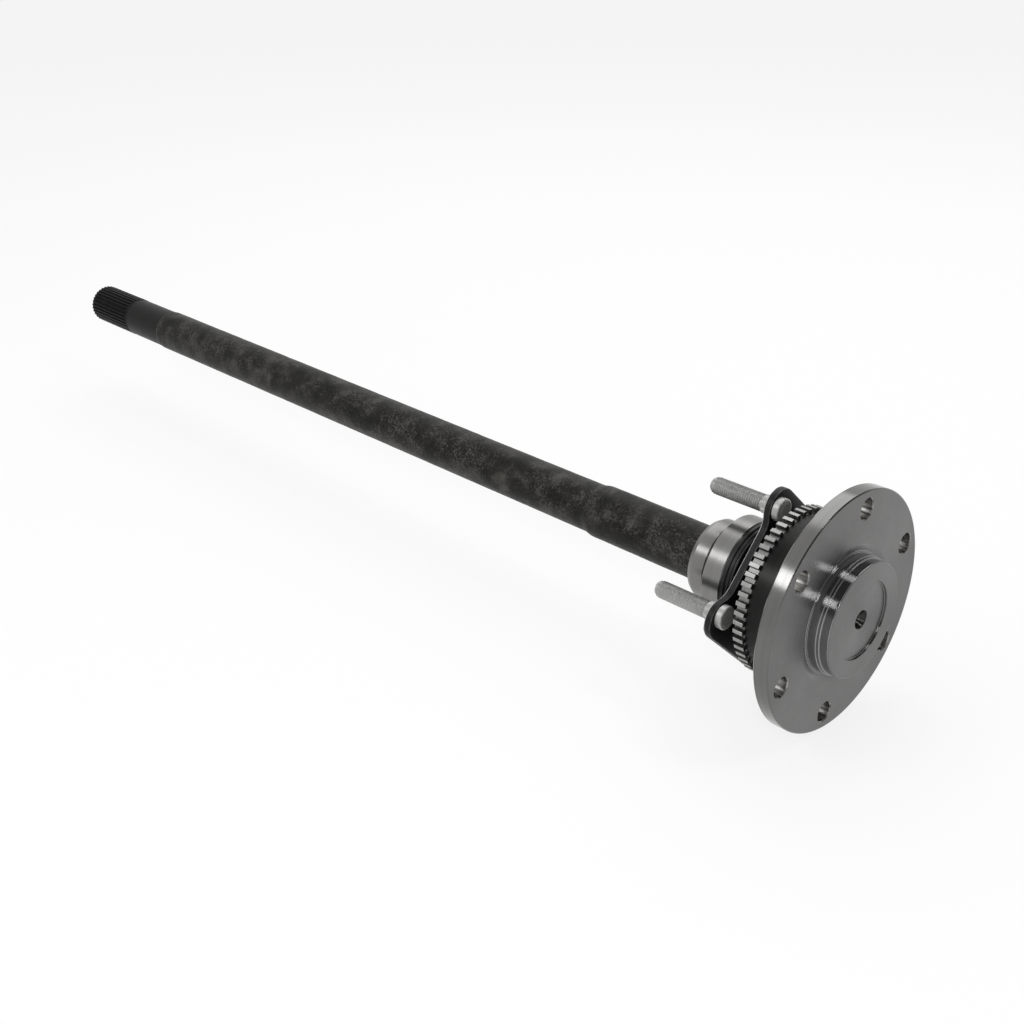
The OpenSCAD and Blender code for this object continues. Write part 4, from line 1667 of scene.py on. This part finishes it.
@dataclass
class Studio:
    """Pale floor, soft lamps and the camera at the photograph's place (m)."""

    floor_z: float = -0.0825
    floor_half: float = 9.0
    floor_colour: Colour = (0.9, 0.9, 0.9)
    floor_glow: float = 0.8
    room_colour: Colour = (1.0, 1.0, 1.0)
    room_level: float = 0.9
    dim_level: float = 0.15
    dim_side: Point = (-0.25, 0.25)
    dim_height: Point = (0.2, 0.38)
    lens: float = 50.2354
    sensor: float = 36.0
    clip: Point = (0.01, 100.0)
    right: Place = (0.712589, 0.701201, -0.023126)
    up: Place = (-0.316528, 0.350736, 0.881360)
    back: Place = (0.626121, -0.620727, 0.471880)
    eye: Place = (0.391746, -0.679821, 0.483106)
    softboxes: tuple[Softbox, ...] = (
        Softbox("back_box", (-0.62, 0.8, 1.2), (-0.2, 0.0, 0.0), (1.8, 1.2), 9.5),
        Softbox("key_box", (-0.68, -0.98, 0.9), (0.0, 0.0, 0.0), (0.55, 0.32), 3.4),
        Softbox("front_box", (0.575, -0.905, 0.82), (0.0, 0.0, 0.0), (0.28, 0.28), 3.6),
        Softbox("top_box", (0.64, 0.25, 1.33), (0.0, 0.0, 0.0), (0.3, 0.3), 3.2),
    )

    def camera(self) -> None:
        """Adds the camera."""
        data = bpy.data.cameras.new("camera")
        data.lens, data.sensor_width, data.sensor_fit = self.lens, self.sensor, "HORIZONTAL"
        data.clip_start, data.clip_end = self.clip
        eye = bpy.data.objects.new("camera", data)
        rows = [(*axes, place_at) for axes, place_at in zip(zip(self.right, self.up, self.back), self.eye)]
        eye.matrix_world = Matrix((*rows, (0.0, 0.0, 0.0, 1.0)))
        bpy.context.scene.collection.objects.link(eye)
        bpy.context.scene.camera = eye

    def floor(self) -> None:
        """Adds the floor, which stays pale to the eye and in reflections and keeps the shadow."""
        half = self.floor_half
        corners = [(sx * half, sy * half, self.floor_z) for sx, sy in ((-1, -1), (1, -1), (1, 1), (-1, 1))]
        mesh = bpy.data.meshes.new("floor")
        mesh.from_pydata(corners, [], [(0, 1, 2, 3)])
        paint = bpy.data.materials.new("pale_floor")
        paint.use_nodes = True
        plan = Wiring(paint.node_tree)
        plan.tree.nodes.clear()
        rays = plan.node("ShaderNodeLightPath").outputs
        seen = rays["Is Camera Ray"]
        for other in ("Is Glossy Ray", "Is Transmission Ray"):
            seen = plan.math("MAXIMUM", seen, rays[other])
        matt = plan.node("ShaderNodeBsdfDiffuse", Color=(*self.floor_colour, 1.0))
        glow = plan.node("ShaderNodeEmission")
        mixer = plan.node("ShaderNodeMixShader")
        shares = (plan.math("MULTIPLY", seen, self.floor_glow), matt.outputs[0], glow.outputs[0])
        for source, target in zip(shares, mixer.inputs):
            plan.join(source, target)
        plan.node("ShaderNodeOutputMaterial", Surface=mixer.outputs[0])
        add_piece("floor", mesh, [paint])

    def world(self) -> None:
        """Lights the room: pale walls, and a ceiling that is dim over the wheel side."""
        world = bpy.data.worlds.new("room")
        world.use_nodes = True
        plan = Wiring(world.node_tree)
        sky = plan.tree.nodes["Background"].inputs
        sky["Color"].default_value = (*self.room_colour, 1.0)
        coords = plan.node("ShaderNodeTexCoord").outputs["Generated"]
        x, _, z = plan.node("ShaderNodeSeparateXYZ", Vector=coords).outputs
        side = plan.spread(x, 0.0, self.room_level - self.dim_level, *self.dim_side, smooth=True)
        height = plan.spread(z, 0.0, 1.0, *self.dim_height, smooth=True)
        level = plan.math("SUBTRACT", self.room_level, plan.math("MULTIPLY", side, height))
        plan.join(level, sky["Strength"])
        bpy.context.scene.world = world

    def build(self) -> None:
        """Sets up the whole studio."""
        bpy.context.scene.view_settings.view_transform = "Standard"
        self.camera()
        self.floor()
        self.world()
        for box in self.softboxes:
            box.build()


def write_sizes() -> None:
    """Brings the view layer up to date."""
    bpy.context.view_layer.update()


def main() -> None:
    """Builds the studio and every piece in order."""
    logging.basicConfig(level=logging.INFO, format="%(name)s: %(message)s")
    Studio().build()
    sector, threads = polar_tree(), bolt_tree()
    AxleFlange().build()
    AxleBar().build()
    AxleSpline().build(sector)
    ToneRing().build(sector)
    RetainerPlate().build()
    RetainerBolts().build(threads)
    SealAndBearing().build()
    write_sizes()


if __name__ == "__main__":
    main()
